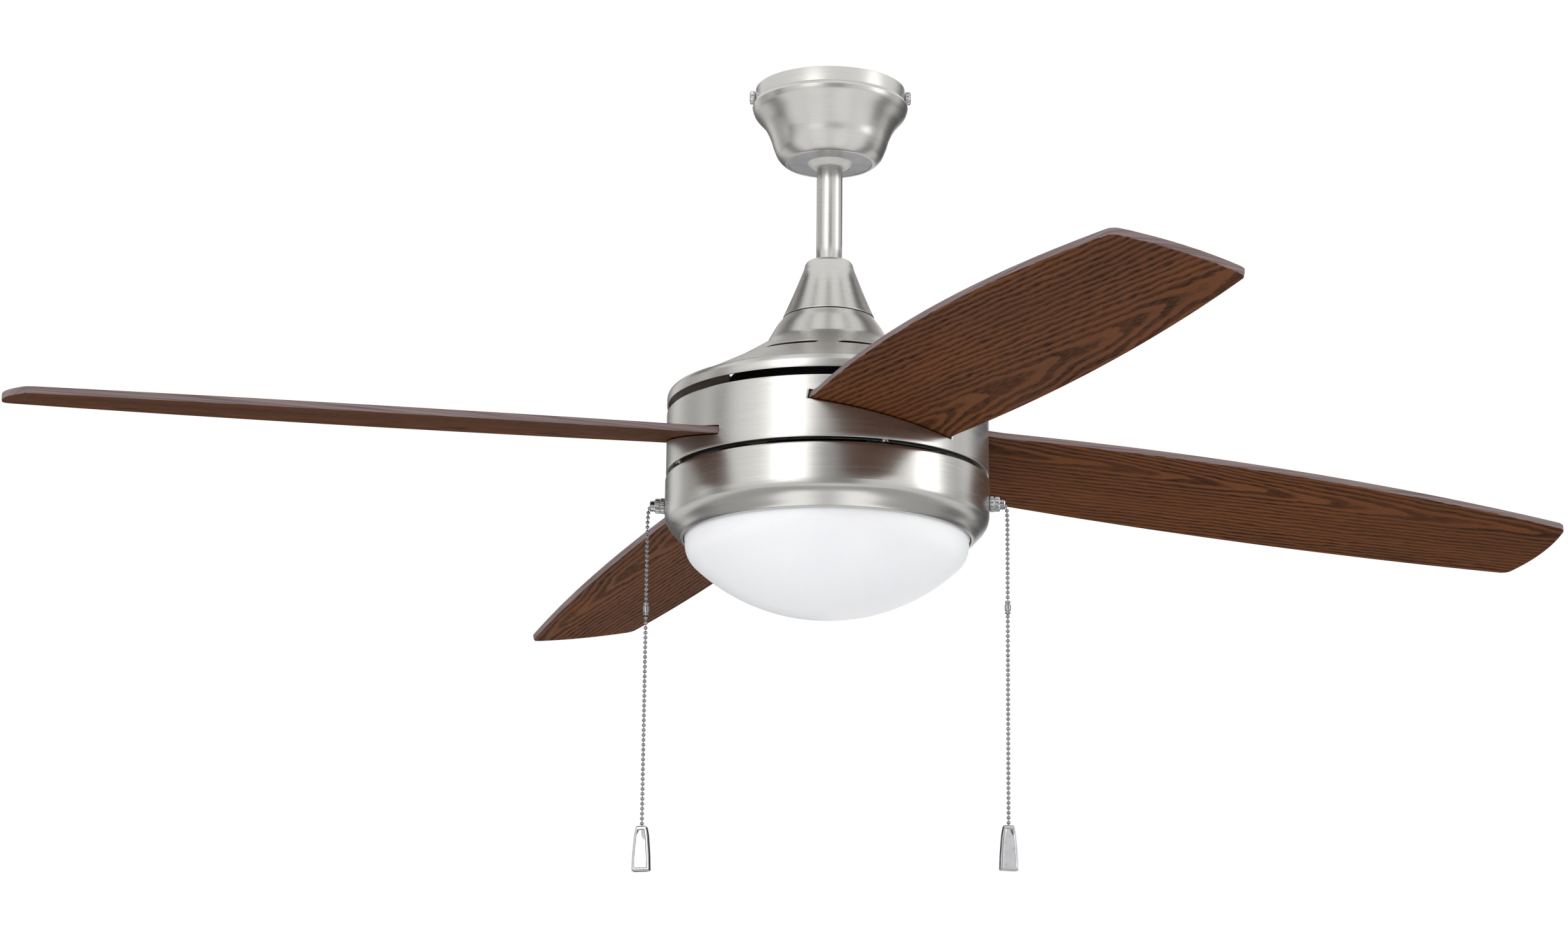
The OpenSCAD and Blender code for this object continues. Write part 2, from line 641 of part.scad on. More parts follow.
// Each arm: a level tab under the flywheel, a riser, and a pitched plate on the blade's upper face
module blade_arms() color(STEEL) for (i = [0 : 3]) difference() {
    union() {
        rotate([0, 0, start_angle + 90 * i]) translate([arm_in, -arm_tab_w / 2, fly_foot - arm_t])
            cube([fly_r - arm_in + 3.5, arm_tab_w, arm_t]);
        rotate([0, 0, start_angle + 90 * i]) translate([fly_r + 0.5, -arm_tab_w / 2, fly_foot - arm_t])
            cube([arm_t, arm_tab_w, arm_t + 4.5]);
        in_blade_frame(i) translate([fly_r + 1, -arm_w / 2, blade_t])
            cube([arm_out - fly_r - 1, arm_w, arm_t]);
    }
    rotate([0, 0, start_angle + 90 * i]) for (u = ARM_BOLTS) translate([u, 0, fly_foot - arm_t - 1])
        cylinder(r = m4_r + fit, h = arm_t + 2, $fn = SMALL_FN);
    in_blade_frame(i) for (p = BLADE_HOLES) translate([p[0], p[1], blade_t - 1])
        cylinder(r = blade_screw_r + fit, h = arm_t + 3, $fn = SMALL_FN);
}

// Half-width of a blade on one side at distance u along it
function edge(u, belly) = let (t = max(0, (u - housing_r) / (blade_out - housing_r)))
    (blade_root_w + (blade_tip_w - blade_root_w) * t) / 2 + belly * 4 * t * (1 - t);

// Round one side at a time: the leading side has v < 0 and the trailing side v > 0
function blade_side(s, belly) = let (u1 = blade_out - tip_bow - TIP_ROUND, w1 = edge(u1, belly))
    concat([for (k = [0 : EDGE_STEPS])
        let (u = blade_in + (u1 - blade_in) * k / EDGE_STEPS) [u, s * edge(u, belly)]],
        [for (k = [1 : 4]) [u1 + TIP_ROUND * sin(18 * k), s * (w1 - TIP_ROUND * (1 - cos(18 * k)))]]);
function reversed(p) = [for (i = [len(p) - 1 : -1 : 0]) p[i]];
function blade_outline() = concat(blade_side(-1, lead_belly),
    [for (k = [-3 : 3]) [blade_out - tip_bow * pow(k / 4, 2), k / 4 * (blade_tip_w / 2 - TIP_ROUND)]],
    reversed(blade_side(1, trail_belly)));

module blade(i) color(WOOD) in_blade_frame(i) difference() {
    linear_extrude(blade_t) polygon(blade_outline());
    for (p = BLADE_HOLES) translate([p[0], p[1], -1])
        cylinder(r = blade_screw_r + fit, h = blade_t + 2, $fn = SMALL_FN);
}

module blade_1() blade(0);
module blade_2() blade(1);
module blade_3() blade(2);
module blade_4() blade(3);

module blade_screws() color(STEEL) for (i = [0 : 3]) in_blade_frame(i)
    for (p = BLADE_HOLES) translate([p[0], p[1], 0]) screw(blade_screw_r, blade_t + arm_t + 0.5, 4.5, 2.2);

module blade_band() color(NICKEL) difference() {
    turned([[housing_r, band_foot], [housing_r, band_top], [housing_r - lip_w, band_top],
        [housing_r - lip_w, band_top - sheet],
        [band_in, band_top - sheet], [band_in, band_foot + sheet],
            [housing_r - lip_w, band_foot + sheet], [housing_r - lip_w, band_foot]]);
    for (i = [0 : 3]) in_blade_frame(i) translate([housing_r - 25, -slot_w / 2, -slot_gap])
        cube([50, slot_w, blade_t + 2 * slot_gap]);
    around(4, start_angle) translate([band_bolt_r, 0, band_foot - 1])
        cylinder(r = band_screw_r + fit, h = sheet + 2, $fn = SMALL_FN);
}

// A hub under the flywheel's sleeve with an arm under each blade
module band_spider() color(STEEL) difference() {
    union() {
        translate([0, 0, spider_top - spider_t]) cylinder(r = sleeve_out + 4, h = spider_t);
        around(4, start_angle) translate([sleeve_out - 6, -spider_w / 2, spider_top - spider_t])
            cube([band_in - sleeve_out + 4, spider_w, spider_t]);
    }
    translate([0, 0, spider_top - spider_t - 1]) cylinder(r = sleeve_in - 4, h = spider_t + 2);
    around(4, start_angle + 45) translate([sleeve_bolt_r, 0, spider_top - spider_t - 1])
        cylinder(r = m4_r + fit, h = spider_t + 2, $fn = SMALL_FN);
    around(4, start_angle) translate([band_bolt_r, 0, spider_top - spider_t - 1])
        cylinder(r = band_screw_r + fit, h = spider_t + 2, $fn = SMALL_FN);
}

module band_screws() color(STEEL) around(4, start_angle)
    translate([band_bolt_r, 0, band_foot]) screw(band_screw_r, sheet + spider_t + 2, 3, 1.6);

// ---- Light kit ----

function ring_path() = concat([[18, ring_top], [kit_r - 1.5, ring_top]],
    arc([kit_r - 2, ring_top - 2], 2, 60, 0, 3),
    smooth([[kit_r, ring_foot + 20], [kit_r - 1.1, ring_foot + 14.6], [kit_r - 4, ring_foot + 9.8],
        [kit_r - 8.5, ring_foot + 4.9], [kit_r - 12, ring_foot + 1.2], [mouth_r, ring_foot]]));

module light_ring() color(NICKEL) difference() {
    turned(strip(ring_path(), -ring_wall));
    rotate([0, 0, kit_turn]) for (a = [0, 180]) rotate([0, 0, a]) translate([kit_r, 0, nozzle_z]) along_x()
        cylinder(r = neck_bore_r + 1 + slack, h = 20, center = true, $fn = SMALL_FN);
    // Window for the reverse knob
    translate([-window_l / 2, kit_r - 6, reverse_z - window_h / 2]) cube([window_l, 12, window_h]);
    around(3, 30) translate([plate_bolt_r, 0, deck_foot - 1])
        cylinder(r = m4_r + fit, h = ring_wall + 2, $fn = SMALL_FN);
}

module kit_plate() color(STEEL) difference() {
    translate([0, 0, deck_foot - plate_t]) cylinder(r = kit_plate_r, h = plate_t);
    translate([0, 0, deck_foot - plate_t - 1]) cylinder(r = shaft_r + fit, h = plate_t + 2);
    around(3, 30) translate([plate_bolt_r, 0, deck_foot - plate_t - 1])
        cylinder(r = m4_r + fit, h = plate_t + 2, $fn = SMALL_FN);
}

module shaft_nut() color(STEEL) difference() {
    translate([0, 0, deck_foot - plate_t - nut_h]) cylinder(r = nut_r, h = nut_h, $fn = 6);
    translate([0, 0, deck_foot - plate_t - nut_h - 1]) cylinder(r = shaft_r + fit, h = nut_h + 2);
}

// A bridge on two posts, with an ear behind each lamp socket
module lamp_bracket() color(STEEL) rotate([0, 0, kit_turn]) difference() {
    union() {
        for (s = [-1, 1]) {
            translate([s * post_x, 0, lamp_z + bridge_up])
                cylinder(r = 4, h = deck_foot - plate_t - lamp_z - bridge_up, $fn = SMALL_FN);
            translate([-15, s * 11 - plate_t / 2, lamp_z - socket_r])
                cube([30, plate_t, socket_r + bridge_up + plate_t]);
        }
        translate([-post_x - 6, -socket_y, lamp_z + bridge_up])
            cube([2 * post_x + 12, 2 * socket_y, plate_t]);
    }
    translate([0, 20, lamp_z]) rotate([90, 0, 0]) cylinder(r = 5, h = 40, $fn = SMALL_FN);
}

module lamp_sockets() color(WHITE) rotate([0, 0, kit_turn]) for (a = [0, 180]) rotate([0, 0, a])
    translate([0, socket_y, lamp_z]) rotate([-90, 0, 0]) difference() {
        cylinder(r = socket_r, h = socket_h);
        translate([0, 0, 4]) cylinder(r = lamp_neck_r + 0.2, h = socket_h);
        translate([0, 0, -1]) cylinder(r = 4, h = 10, $fn = SMALL_FN);
    }

module lamp_bulbs() color([0.95, 0.95, 0.9]) rotate([0, 0, kit_turn]) for (a = [0, 180]) rotate([0, 0, a])
    translate([0, socket_y + 5, lamp_z]) rotate([-90, 0, 0])
        turned(concat([[0, 0], [9, 0], [lamp_neck_r, 2], [lamp_neck_r, 26]],
            arc([0, lamp_l - bulb_r], bulb_r, -40, 90, 14)));

module pull_switches() color(DARK) rotate([0, 0, kit_turn]) for (a = [0, 180]) rotate([0, 0, a])
    difference() {
    union() {
        translate([kit_r - 4 - SWITCH[0], -SWITCH[1] / 2, nozzle_z - SWITCH[2] / 2]) cube(SWITCH);
        translate([kit_r - 5, 0, nozzle_z]) along_x()
            cylinder(r = neck_bore_r + 1, h = 6.5, $fn = SMALL_FN);
    }
    translate([kit_r - 12, 0, nozzle_z]) along_x() cylinder(r = neck_bore_r, h = 20, $fn = SMALL_FN);
}

module chain_nozzles() color(STEEL) rotate([0, 0, kit_turn]) for (a = [0, 180]) rotate([0, 0, a])
    translate([kit_r - 10, 0, nozzle_z]) along_x() difference() {
        cylinder(r = nozzle_r, h = nozzle_end - kit_r + 10);
        translate([0, 0, -1]) cylinder(r = nozzle_bore_r, h = 60);
    }

// Knurled flange nut against the ring and a plain nut beside it
module nozzle_nuts() color(STEEL) rotate([0, 0, kit_turn]) for (a = [0, 180]) rotate([0, 0, a])
    translate([kit_r + 0.4, 0, nozzle_z]) along_x() difference() {
        union() {
            cylinder(r = neck_bore_r + 1.8, h = 3.6);
            translate([0, 0, 3.5]) cylinder(r = neck_bore_r + 1.4, h = 4.4);
        }
        translate([0, 0, -1]) cylinder(r = neck_bore_r + 1 + fit, h = 3);
        translate([0, 0, -1]) cylinder(r = nozzle_r + fit, h = 12);
    }

module capacitor() color(DARK) translate([CAPACITOR_AT[0], CAPACITOR_AT[1], deck_foot - CAPACITOR[2]])
    cube(CAPACITOR);

// Angles between the hooks that hold the bowl
module bowl_hooks() color(STEEL) around(hook_count, 37) rotate_extrude(angle = hook_turn)
    polygon([[hook_r - 8, deck_foot - ring_wall], [hook_r - 8, deck_foot], [hook_r + 1.5, deck_foot],
        [hook_r + 1.5, tab_z - 1.8], [hook_r + 7.4, tab_z - 1.8], [hook_r + 7.4, tab_z - 3.8],
        [hook_r, tab_z - 3.8], [hook_r, deck_foot - ring_wall]]);

module reverse_switch() color(DARK) difference() {
    translate([-11, kit_r - 20, reverse_z - 5]) cube([22, 16, 10]);
    translate([-window_l / 2 - 0.5, kit_r - 9, reverse_z - window_h / 2 - 0.2])
        cube([window_l + 1, 10, window_h + 0.4]);
}

// The knob's stem lies in the switch and its head in the ring's window
module reverse_knob() color(WHITE)
    translate([0.6 - window_l / 2, kit_r - 8.5, reverse_z - window_h / 2 + 0.5])
    cube([4.8, 9.3, window_h - 1]);

// Four leads through shaft and rod, each bent outwards over the ball into its connector
module lead_wires() color([0.2, 0.2, 0.22]) for (sx = [-1, 1], sy = [-1, 1]) {
    bend = [sx * lead_x, sy * lead_y, rod_top + 3];
    union() {
        translate([bend[0], bend[1], shaft_foot - 1])
            cylinder(r = lead_r, h = bend[2] - shaft_foot + 1, $fn = SMALL_FN);
        translate(bend) sphere(r = lead_r, $fn = SMALL_FN);
        along(bend, [sx * LEAD_BEND[0], sy * LEAD_BEND[1], LEAD_BEND[2]])
            cylinder(r = lead_r, h = lead_bend_l, $fn = SMALL_FN);
    }
}

module wire_connectors() color([0.85, 0.5, 0.15]) for (sx = [-1, 1], sy = [-1, 1])
    along([sx * lead_x, sy * lead_y, rod_top + 3], [sx * LEAD_BEND[0], sy * LEAD_BEND[1], LEAD_BEND[2]])
        translate([0, 0, lead_bend_l - 3]) difference() {
            cylinder(r1 = 4.4, r2 = 3, h = 12, $fn = SMALL_FN);
            translate([0, 0, -1]) cylinder(r = 2.6, h = 6, $fn = SMALL_FN);
        }

function bowl_arc(c) = concat([[bowl_r - c, bowl_top], [bowl_r - c, corner_z]],
    arc([bowl_r - bowl_corner_r, corner_z], bowl_corner_r - c, -6, dome_turn - 90, 6),
    [for (k = [1 : 12]) let (a = dome_turn * (1 - k / 12)) [(bowl_dome_r - c) * sin(a),
        dome_z - (bowl_dome_r - c) * cos(a)]]);

module glass_bowl() color([0.95, 0.96, 0.98, 0.9]) turned(concat(bowl_arc(0), reversed(bowl_arc(glass_t))));

// Metal channel over the bowl's top edge, with a tab above each hook
module bowl_collar() color(ALUMINIUM) union() {
    turned([[bowl_r + 0.05, bowl_top - 10], [bowl_r + collar_t, bowl_top - 10],
        [bowl_r + collar_t, bowl_top + 1.2],
        [bowl_r - glass_t - collar_t, bowl_top + 1.2], [bowl_r - glass_t - collar_t, bowl_top - 5],
        [bowl_r - glass_t - 0.05, bowl_top - 5], [bowl_r - glass_t - 0.05, bowl_top + 0.1],
            [bowl_r + 0.05, bowl_top + 0.1]]);
    around(hook_count, 39) rotate_extrude(angle = hook_turn - 4)
        translate([hook_r + 3, tab_z - 1.5]) square([bowl_r - glass_t - 0.4 - hook_r - 3, 1.5]);
}

// ---- Pull chains ----

// A tube swept down a list of points, n-sided, each ring level
module cord(points, r, n = 8) {
    polyhedron([for (p = points, k = [0 : n - 1]) p + r * [cos(360 * k / n), sin(360 * k / n), 0]],
        concat([[for (k = [0 : n - 1]) k]],
            [for (i = [0 : len(points) - 2], k = [0 : n - 1])
                [i * n + k, (i + 1) * n + k, (i + 1) * n + (k + 1) % n, i * n + (k + 1) % n]],
            [[for (k = [n - 1 : -1 : 0]) (len(points) - 1) * n + k]]));
}

module on_side(s) {
    rotate([0, 0, kit_turn + s]) translate([chain_x, 0, 0]) children();
}

module chain(s) color(STEEL) on_side(s)
    cord(concat([for (d = CHAIN_DROPS) if (d < chain_top - chain_foot - 5) [0, 0, chain_top - d]],
        [[0, 0, chain_foot]]), chain_r);

module coupling(s) color(STEEL) on_side(s) translate([0, 0, coupling_z]) difference() {
    cylinder(r = chain_r + 0.8, h = coupling_h, center = true, $fn = SMALL_FN);
    cylinder(r = chain_r + fit, h = coupling_h + 2, center = true, $fn = SMALL_FN);
}

// A wedge-shaped fob with a shallow panel on each face and a socket for the chain's end
module fob(s, turn) color(STEEL) on_side(s) translate([0, 0, fob_top - fob_h]) rotate([0, 0, turn])
    difference() {
    rotate([90, 0, 0]) linear_extrude(fob_depth, center = true)
        polygon([[-fob_foot_w / 2, 0], [fob_foot_w / 2, 0],
        [fob_foot_w / 2 - 0.4, fob_h * 0.35], [fob_top_w / 2 + 1, fob_h * 0.8],
            [fob_top_w / 2 - 0.5, fob_h],
        [0.5 - fob_top_w / 2, fob_h], [-fob_top_w / 2 - 1, fob_h * 0.8],
            [0.4 - fob_foot_w / 2, fob_h * 0.35]]);
    for (f = [-1, 1]) translate([0, f * fob_depth / 2, 0]) rotate([90, 0, 0])
        linear_extrude(1, center = true)
        polygon([[2 - fob_foot_w / 2, 2.5], [fob_foot_w / 2 - 2, 2.5],
            [fob_top_w / 2 - 1.5, fob_h - 2.5], [1.5 - fob_top_w / 2, fob_h - 2.5]]);
    translate([0, 0, fob_h - 5]) cylinder(r = chain_r + fit, h = 10, $fn = SMALL_FN);
}

module fan_chain() chain(0);
module fan_coupling() coupling(0);
module fan_fob() fob(0, 15 - kit_turn);
module light_chain() chain(180);
module light_coupling() coupling(180);
module light_fob() fob(180, -15 - kit_turn);

hanger_bracket();
canopy();
canopy_screws();
ground_screw();
hanger_ball();
ball_pin();
downrod();
set_screws();
yoke_cover();
motor_yoke();
clevis_pin();
cotter_clip();
top_cover();
housing_screws();
motor_shaft();
stator_core();
stator_windings();
bearing_inner_rings();
kit_plate();
shaft_nut();
light_ring();
lamp_bracket();
lamp_sockets();
lamp_bulbs();
pull_switches();
chain_nozzles();
nozzle_nuts();
capacitor();
bowl_hooks();
reverse_switch();
lead_wires();
wire_connectors();
motor_top_shell();
motor_bottom_shell();
rotor_core();
shell_screws();
bearing_outer_rings();
flywheel();
rotor_screws();
blade_arms();
blade_1();
blade_2();
blade_3();
blade_4();
blade_screws();
blade_band();
band_spider();
band_screws();
bearing_balls();
glass_bowl();
bowl_collar();
fan_chain();
fan_coupling();
fan_fob();
light_chain();
light_coupling();
light_fob();
reverse_knob();
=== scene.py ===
"""Ceiling fan with a bowl light: turned nickel, oak blades, opal bowl, bead chains and a studio."""

from __future__ import annotations

import json
import logging
import math
from dataclasses import dataclass, field
from enum import Enum
from typing import Any, Callable, Optional, Sequence, Union

import bmesh
import bpy
import numpy as np
from mathutils import Matrix, Vector


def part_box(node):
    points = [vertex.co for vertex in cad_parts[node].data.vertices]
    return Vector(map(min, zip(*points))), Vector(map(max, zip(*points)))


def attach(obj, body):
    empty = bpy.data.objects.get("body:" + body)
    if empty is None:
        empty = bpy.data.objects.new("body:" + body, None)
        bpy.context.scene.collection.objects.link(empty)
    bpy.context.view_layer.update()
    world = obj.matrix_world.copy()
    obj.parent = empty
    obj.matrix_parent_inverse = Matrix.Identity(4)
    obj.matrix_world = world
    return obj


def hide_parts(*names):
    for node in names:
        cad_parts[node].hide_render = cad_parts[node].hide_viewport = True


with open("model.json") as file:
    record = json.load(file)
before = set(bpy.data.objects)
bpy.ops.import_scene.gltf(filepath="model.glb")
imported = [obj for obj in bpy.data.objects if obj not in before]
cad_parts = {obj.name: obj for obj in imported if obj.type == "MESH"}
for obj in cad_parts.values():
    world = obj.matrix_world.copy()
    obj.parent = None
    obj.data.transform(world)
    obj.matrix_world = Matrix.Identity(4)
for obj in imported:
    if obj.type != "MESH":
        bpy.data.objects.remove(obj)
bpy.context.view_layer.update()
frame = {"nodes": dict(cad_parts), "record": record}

LOG = logging.getLogger("ceiling_fan")
MM = 0.001
Array = np.ndarray
Colour = tuple[float, float, float]


# ---------------------------------------------------------------- shader maths


class Wire:
    """A shader socket that can be used in arithmetic."""

    def __init__(self, graph: "Graph", socket: bpy.types.NodeSocket) -> None:
        """Keeps the socket and the graph that it belongs to."""
        self.graph = graph
        self.socket = socket

    def _join(self, operation: str, first: "Value", second: "Value") -> "Wire":
        """Adds a Math node.

        Args:
            operation: The Math node's operation.
            first: Its first value.
            second: Its second value.

        Returns:
            The node's result.
        """
        return self.graph.node("ShaderNodeMath", {"operation": operation}, {0: first, 1: second}).out()

    def __add__(self, other: "Value") -> "Wire":
        """Sum."""
        return self._join("ADD", self, other)

    __radd__ = __add__

    def __sub__(self, other: "Value") -> "Wire":
        """Difference."""
        return self._join("SUBTRACT", self, other)

    def __rsub__(self, other: "Value") -> "Wire":
        """Difference, with this value taken away."""
        return self._join("SUBTRACT", other, self)

    def __mul__(self, other: "Value") -> "Wire":
        """Product."""
        return self._join("MULTIPLY", self, other)

    __rmul__ = __mul__

    def root(self) -> "Wire":
        """Square root."""
        return self._join("SQRT", self, 0.0)

    def wave(self) -> "Wire":
        """Sine, moved to run from 0 to 1."""
        return self._join("SINE", self, 0.0) * 0.5 + 0.5

    def fraction(self) -> "Wire":
        """What is left over a whole number."""
        return self._join("FRACT", self, 0.0)

    def band(self, low: float, high: float) -> "Wire":
        """Smooth rise from 0 at low to 1 at high.

        Args:
            low: Where the rise starts.
            high: Where it ends.

        Returns:
            The risen value.
        """
        settings = {"interpolation_type": "SMOOTHSTEP"}
        return self.graph.node("ShaderNodeMapRange", settings, {0: self, 1: low, 2: high}).out()


Value = Union[Wire, float, int]


class Step:
    """A node whose outputs are picked by name or place."""

    def __init__(self, graph: "Graph", made: bpy.types.Node) -> None:
        """Keeps the node."""
        self.graph = graph
        self.made = made

    def out(self, key: Union[int, str] = 0) -> Wire:
        """One output of the node."""
        return Wire(self.graph, self.made.outputs[key])


class Graph:
    """The node tree of one material."""

    def __init__(self, name: str) -> None:
        """Makes an empty material of that name."""
        self.material = bpy.data.materials.new(name)
        self.material.use_nodes = True
        self.tree = self.material.node_tree
        self.tree.nodes.clear()

    def node(self, kind: str, settings: Optional[dict[str, Any]] = None,
             values: Optional[dict[Union[int, str], Any]] = None) -> Step:
        """Adds any node: its settings go in first, then its sockets' values or links.

        Args:
            kind: The node's type.
            settings: Attributes of the node.
            values: Socket place or name, with a number, a tuple or a Wire.

        Returns:
            The node.
        """
        made = self.tree.nodes.new(kind)
        for key, value in (settings or {}).items():
            setattr(made, key, value)
        for key, value in (values or {}).items():
            if isinstance(value, Wire):
                self.tree.links.new(value.socket, made.inputs[key])
            else:
                made.inputs[key].default_value = value
        return Step(self, made)

    def place(self) -> tuple[Wire, Wire, Wire]:
        """Object coordinates, in metres.

        Returns:
            X, Y and Z.
        """
        coordinates = self.node("ShaderNodeTexCoord").out("Object")
        split = self.node("ShaderNodeSeparateXYZ", None, {0: coordinates})
        return split.out(0), split.out(1), split.out(2)

    def noise(self, x: Value, y: Value, z: Value, detail: float = 2.0) -> Wire:
        """Noise between 0 and 1 at a point given by three values.

        Args:
            x: First coordinate, already scaled to the pattern's size.
            y: Second coordinate.
            z: Third coordinate.
            detail: How many finer layers are added.

        Returns:
            The noise.
        """
        point = self.node("ShaderNodeCombineXYZ", None, {0: x, 1: y, 2: z}).out()
        values = {"Vector": point, "Scale": 1.0, "Detail": detail}
        return self.node("ShaderNodeTexNoise", None, values).out("Fac")

    def blend(self, mask: Value, first: Any, second: Any) -> Wire:
        """Mixes two colours.

        Args:
            mask: 0 for the first, 1 for the second.
            first: A colour or a Wire.
            second: A colour or a Wire.

        Returns:
            The mixed colour.
        """
        values = {0: mask, 6: first if isinstance(first, Wire) else (*first, 1.0),
                  7: second if isinstance(second, Wire) else (*second, 1.0)}
        return self.node("ShaderNodeMix", {"data_type": "RGBA"}, values).out(2)

    def bump(self, height: Value, depth: float) -> Wire:
        """Bumps the surface.

        Args:
            height: Height from 0 to 1.
            depth: What a height of 1 stands for, in metres.

        Returns:
            The normal.
        """
        return self.node("ShaderNodeBump", None, {"Strength": 1.0, "Distance": depth, "Height": height}).out()

    def finish(self, **sockets: Any) -> bpy.types.Material:
        """Adds the surface shader and the material's output.

        Args:
            **sockets: Shader socket names, with underscores for blanks, and their values.

        Returns:
            The finished material.
        """
        values = {key.replace("_", " "): (*value, 1.0) if isinstance(value, tuple) else value
                  for key, value in sockets.items()}
        shader = self.node("ShaderNodeBsdfPrincipled", None, values)
        self.node("ShaderNodeOutputMaterial", None, {"Surface": shader.out("BSDF")})
        return self.material


# ---------------------------------------------------------------- finishes


def display(red: int, green: int, blue: int) -> Colour:
    """Turns a display colour of 0 to 255 into the linear colour that shaders use."""
    shares = np.array([red, green, blue]) / 255
    linear = np.where(shares <= 0.04045, shares / 12.92, ((shares + 0.055) / 1.055) ** 2.4)
    return float(linear[0]), float(linear[1]), float(linear[2])


@dataclass(frozen=True)
class Finish:
    """Something a piece can be dressed in."""

    name: str

    def material(self) -> bpy.types.Material:
        """The finish's material, made once."""
        return bpy.data.materials.get(self.name) or self.make()

    def make(self) -> bpy.types.Material:
        """Builds the material."""
        raise NotImplementedError


@dataclass(frozen=True)
class BrushedNickel(Finish):
    """Nickel plate brushed in rings round the fan's axis."""

    tint: Colour = display(206, 204, 200)
    roughness: float = 0.29
    streak: float = 0.05
    lines_per_mm: float = 4.5
    anisotropy: float = 0.45

    def make(self) -> bpy.types.Material:
        """Rings are noise that is long round the axis and short along height plus radius.

        Returns:
            The material.
        """
        g = Graph(self.name)
        x, y, z = g.place()
        radius = (x * x + y * y).root()
        across = (z * 0.83 + radius * 0.55) * (1000 * self.lines_per_mm)
        fine = g.noise(x * 26, y * 26, across, 1.0)
        broad = g.noise(x * 9, y * 9, across * 0.13, 2.0)
        smudge = g.noise(x * 14, y * 14, z * 14, 2.0)
        lines = fine * 0.6 + broad * 0.4
        tone = lines.band(0.3, 0.72)
        colour = g.blend(tone, tuple(c * (1 - self.streak) for c in self.tint), self.tint)
        rough = self.roughness + (lines - 0.5) * 0.12 + (smudge - 0.5) * 0.06
        return g.finish(Base_Color=colour, Metallic=1.0, Roughness=rough, Anisotropic=self.anisotropy,
                        Normal=g.bump(lines, 0.004 * MM))


@dataclass(frozen=True)
class BrightPlate(Finish):
    """Bright plating with faint smears and fine scratches."""

    tint: Colour = display(222, 222, 226)
    roughness: float = 0.1

    def make(self) -> bpy.types.Material:
        """Smears are soft noise, scratches are noise drawn out along height.

        Returns:
            The material.
        """
        g = Graph(self.name)
        x, y, z = g.place()
        smear = g.noise(x * 160, y * 160, z * 160, 3.0)
        scratch = g.noise(x * 2600, y * 2600, z * 90, 1.0)
        rough = self.roughness + smear.band(0.4, 0.8) * 0.1 + scratch.band(0.62, 0.75) * 0.08
        colour = g.blend(smear.band(0.35, 0.75), self.tint, tuple(c * 0.86 for c in self.tint))
        return g.finish(Base_Color=colour, Metallic=1.0, Roughness=rough, Normal=g.bump(smear, 0.01 * MM))


@dataclass(frozen=True)
class Grained(Finish):
    """A plain material with a fine even grain: plate, casting, moulding, enamel."""

    tint: Colour = (0.5, 0.5, 0.5)
    second: Colour = (0.45, 0.45, 0.45)
    roughness: float = 0.45
    metallic: float = 0.0
    grain_mm: float = 1.5
    depth_mm: float = 0.03
    coat: float = 0.0

    def make(self) -> bpy.types.Material:
        """A coarse patchiness of two tints under a fine grain that lifts the surface.

        Returns:
            The material.
        """
        g = Graph(self.name)
        x, y, z = g.place()
        rate = 1000 / self.grain_mm
        grain = g.noise(x * rate, y * rate, z * rate, 3.0)
        patch = g.noise(x * rate * 0.12, y * rate * 0.12, z * rate * 0.12, 2.0)
        mask = (patch * 0.6 + grain * 0.4).band(0.35, 0.65)
        rough = self.roughness + (grain - 0.5) * 0.2
        return g.finish(Base_Color=g.blend(mask, self.tint, self.second), Metallic=self.metallic,
                        Roughness=rough, Coat_Weight=self.coat, Coat_Roughness=0.12,
                        Normal=g.bump(grain, self.depth_mm * MM))


@dataclass(frozen=True)
class Layered(Finish):
    """Stacked sheet or wound wire: even lines one above the other."""

    tint: Colour = (0.5, 0.3, 0.1)
    # Dark tint of the grooves: the joint between sheets, and painted shade between wires and sheets.
    joint_and_groove_shade: Colour = (0.1, 0.05, 0.02)
    pitch_mm: float = 0.6
    metallic: float = 1.0

    def make(self) -> bpy.types.Material:
        """Lines are a sine of height, with a little noise on their tone; the low part of each line takes the
        dark tint, which is the joint between sheets and painted shade in the groove.

        Returns:
            The material.
        """
        g = Graph(self.name)
        x, y, z = g.place()
        line = (z * (2 * math.pi * 1000 / self.pitch_mm)).wave()
        patch = g.noise(x * 300, y * 300, z * 300)
        mask = line.band(0.05, 0.5) * (0.75 + patch * 0.25)
        # the grooves are painted dark: painted shade, with the joint between sheets
        return g.finish(Base_Color=g.blend(mask, self.joint_and_groove_shade, self.tint), Metallic=self.metallic,
                        Roughness=0.34 + patch * 0.16, Normal=g.bump(line, 0.08 * MM))


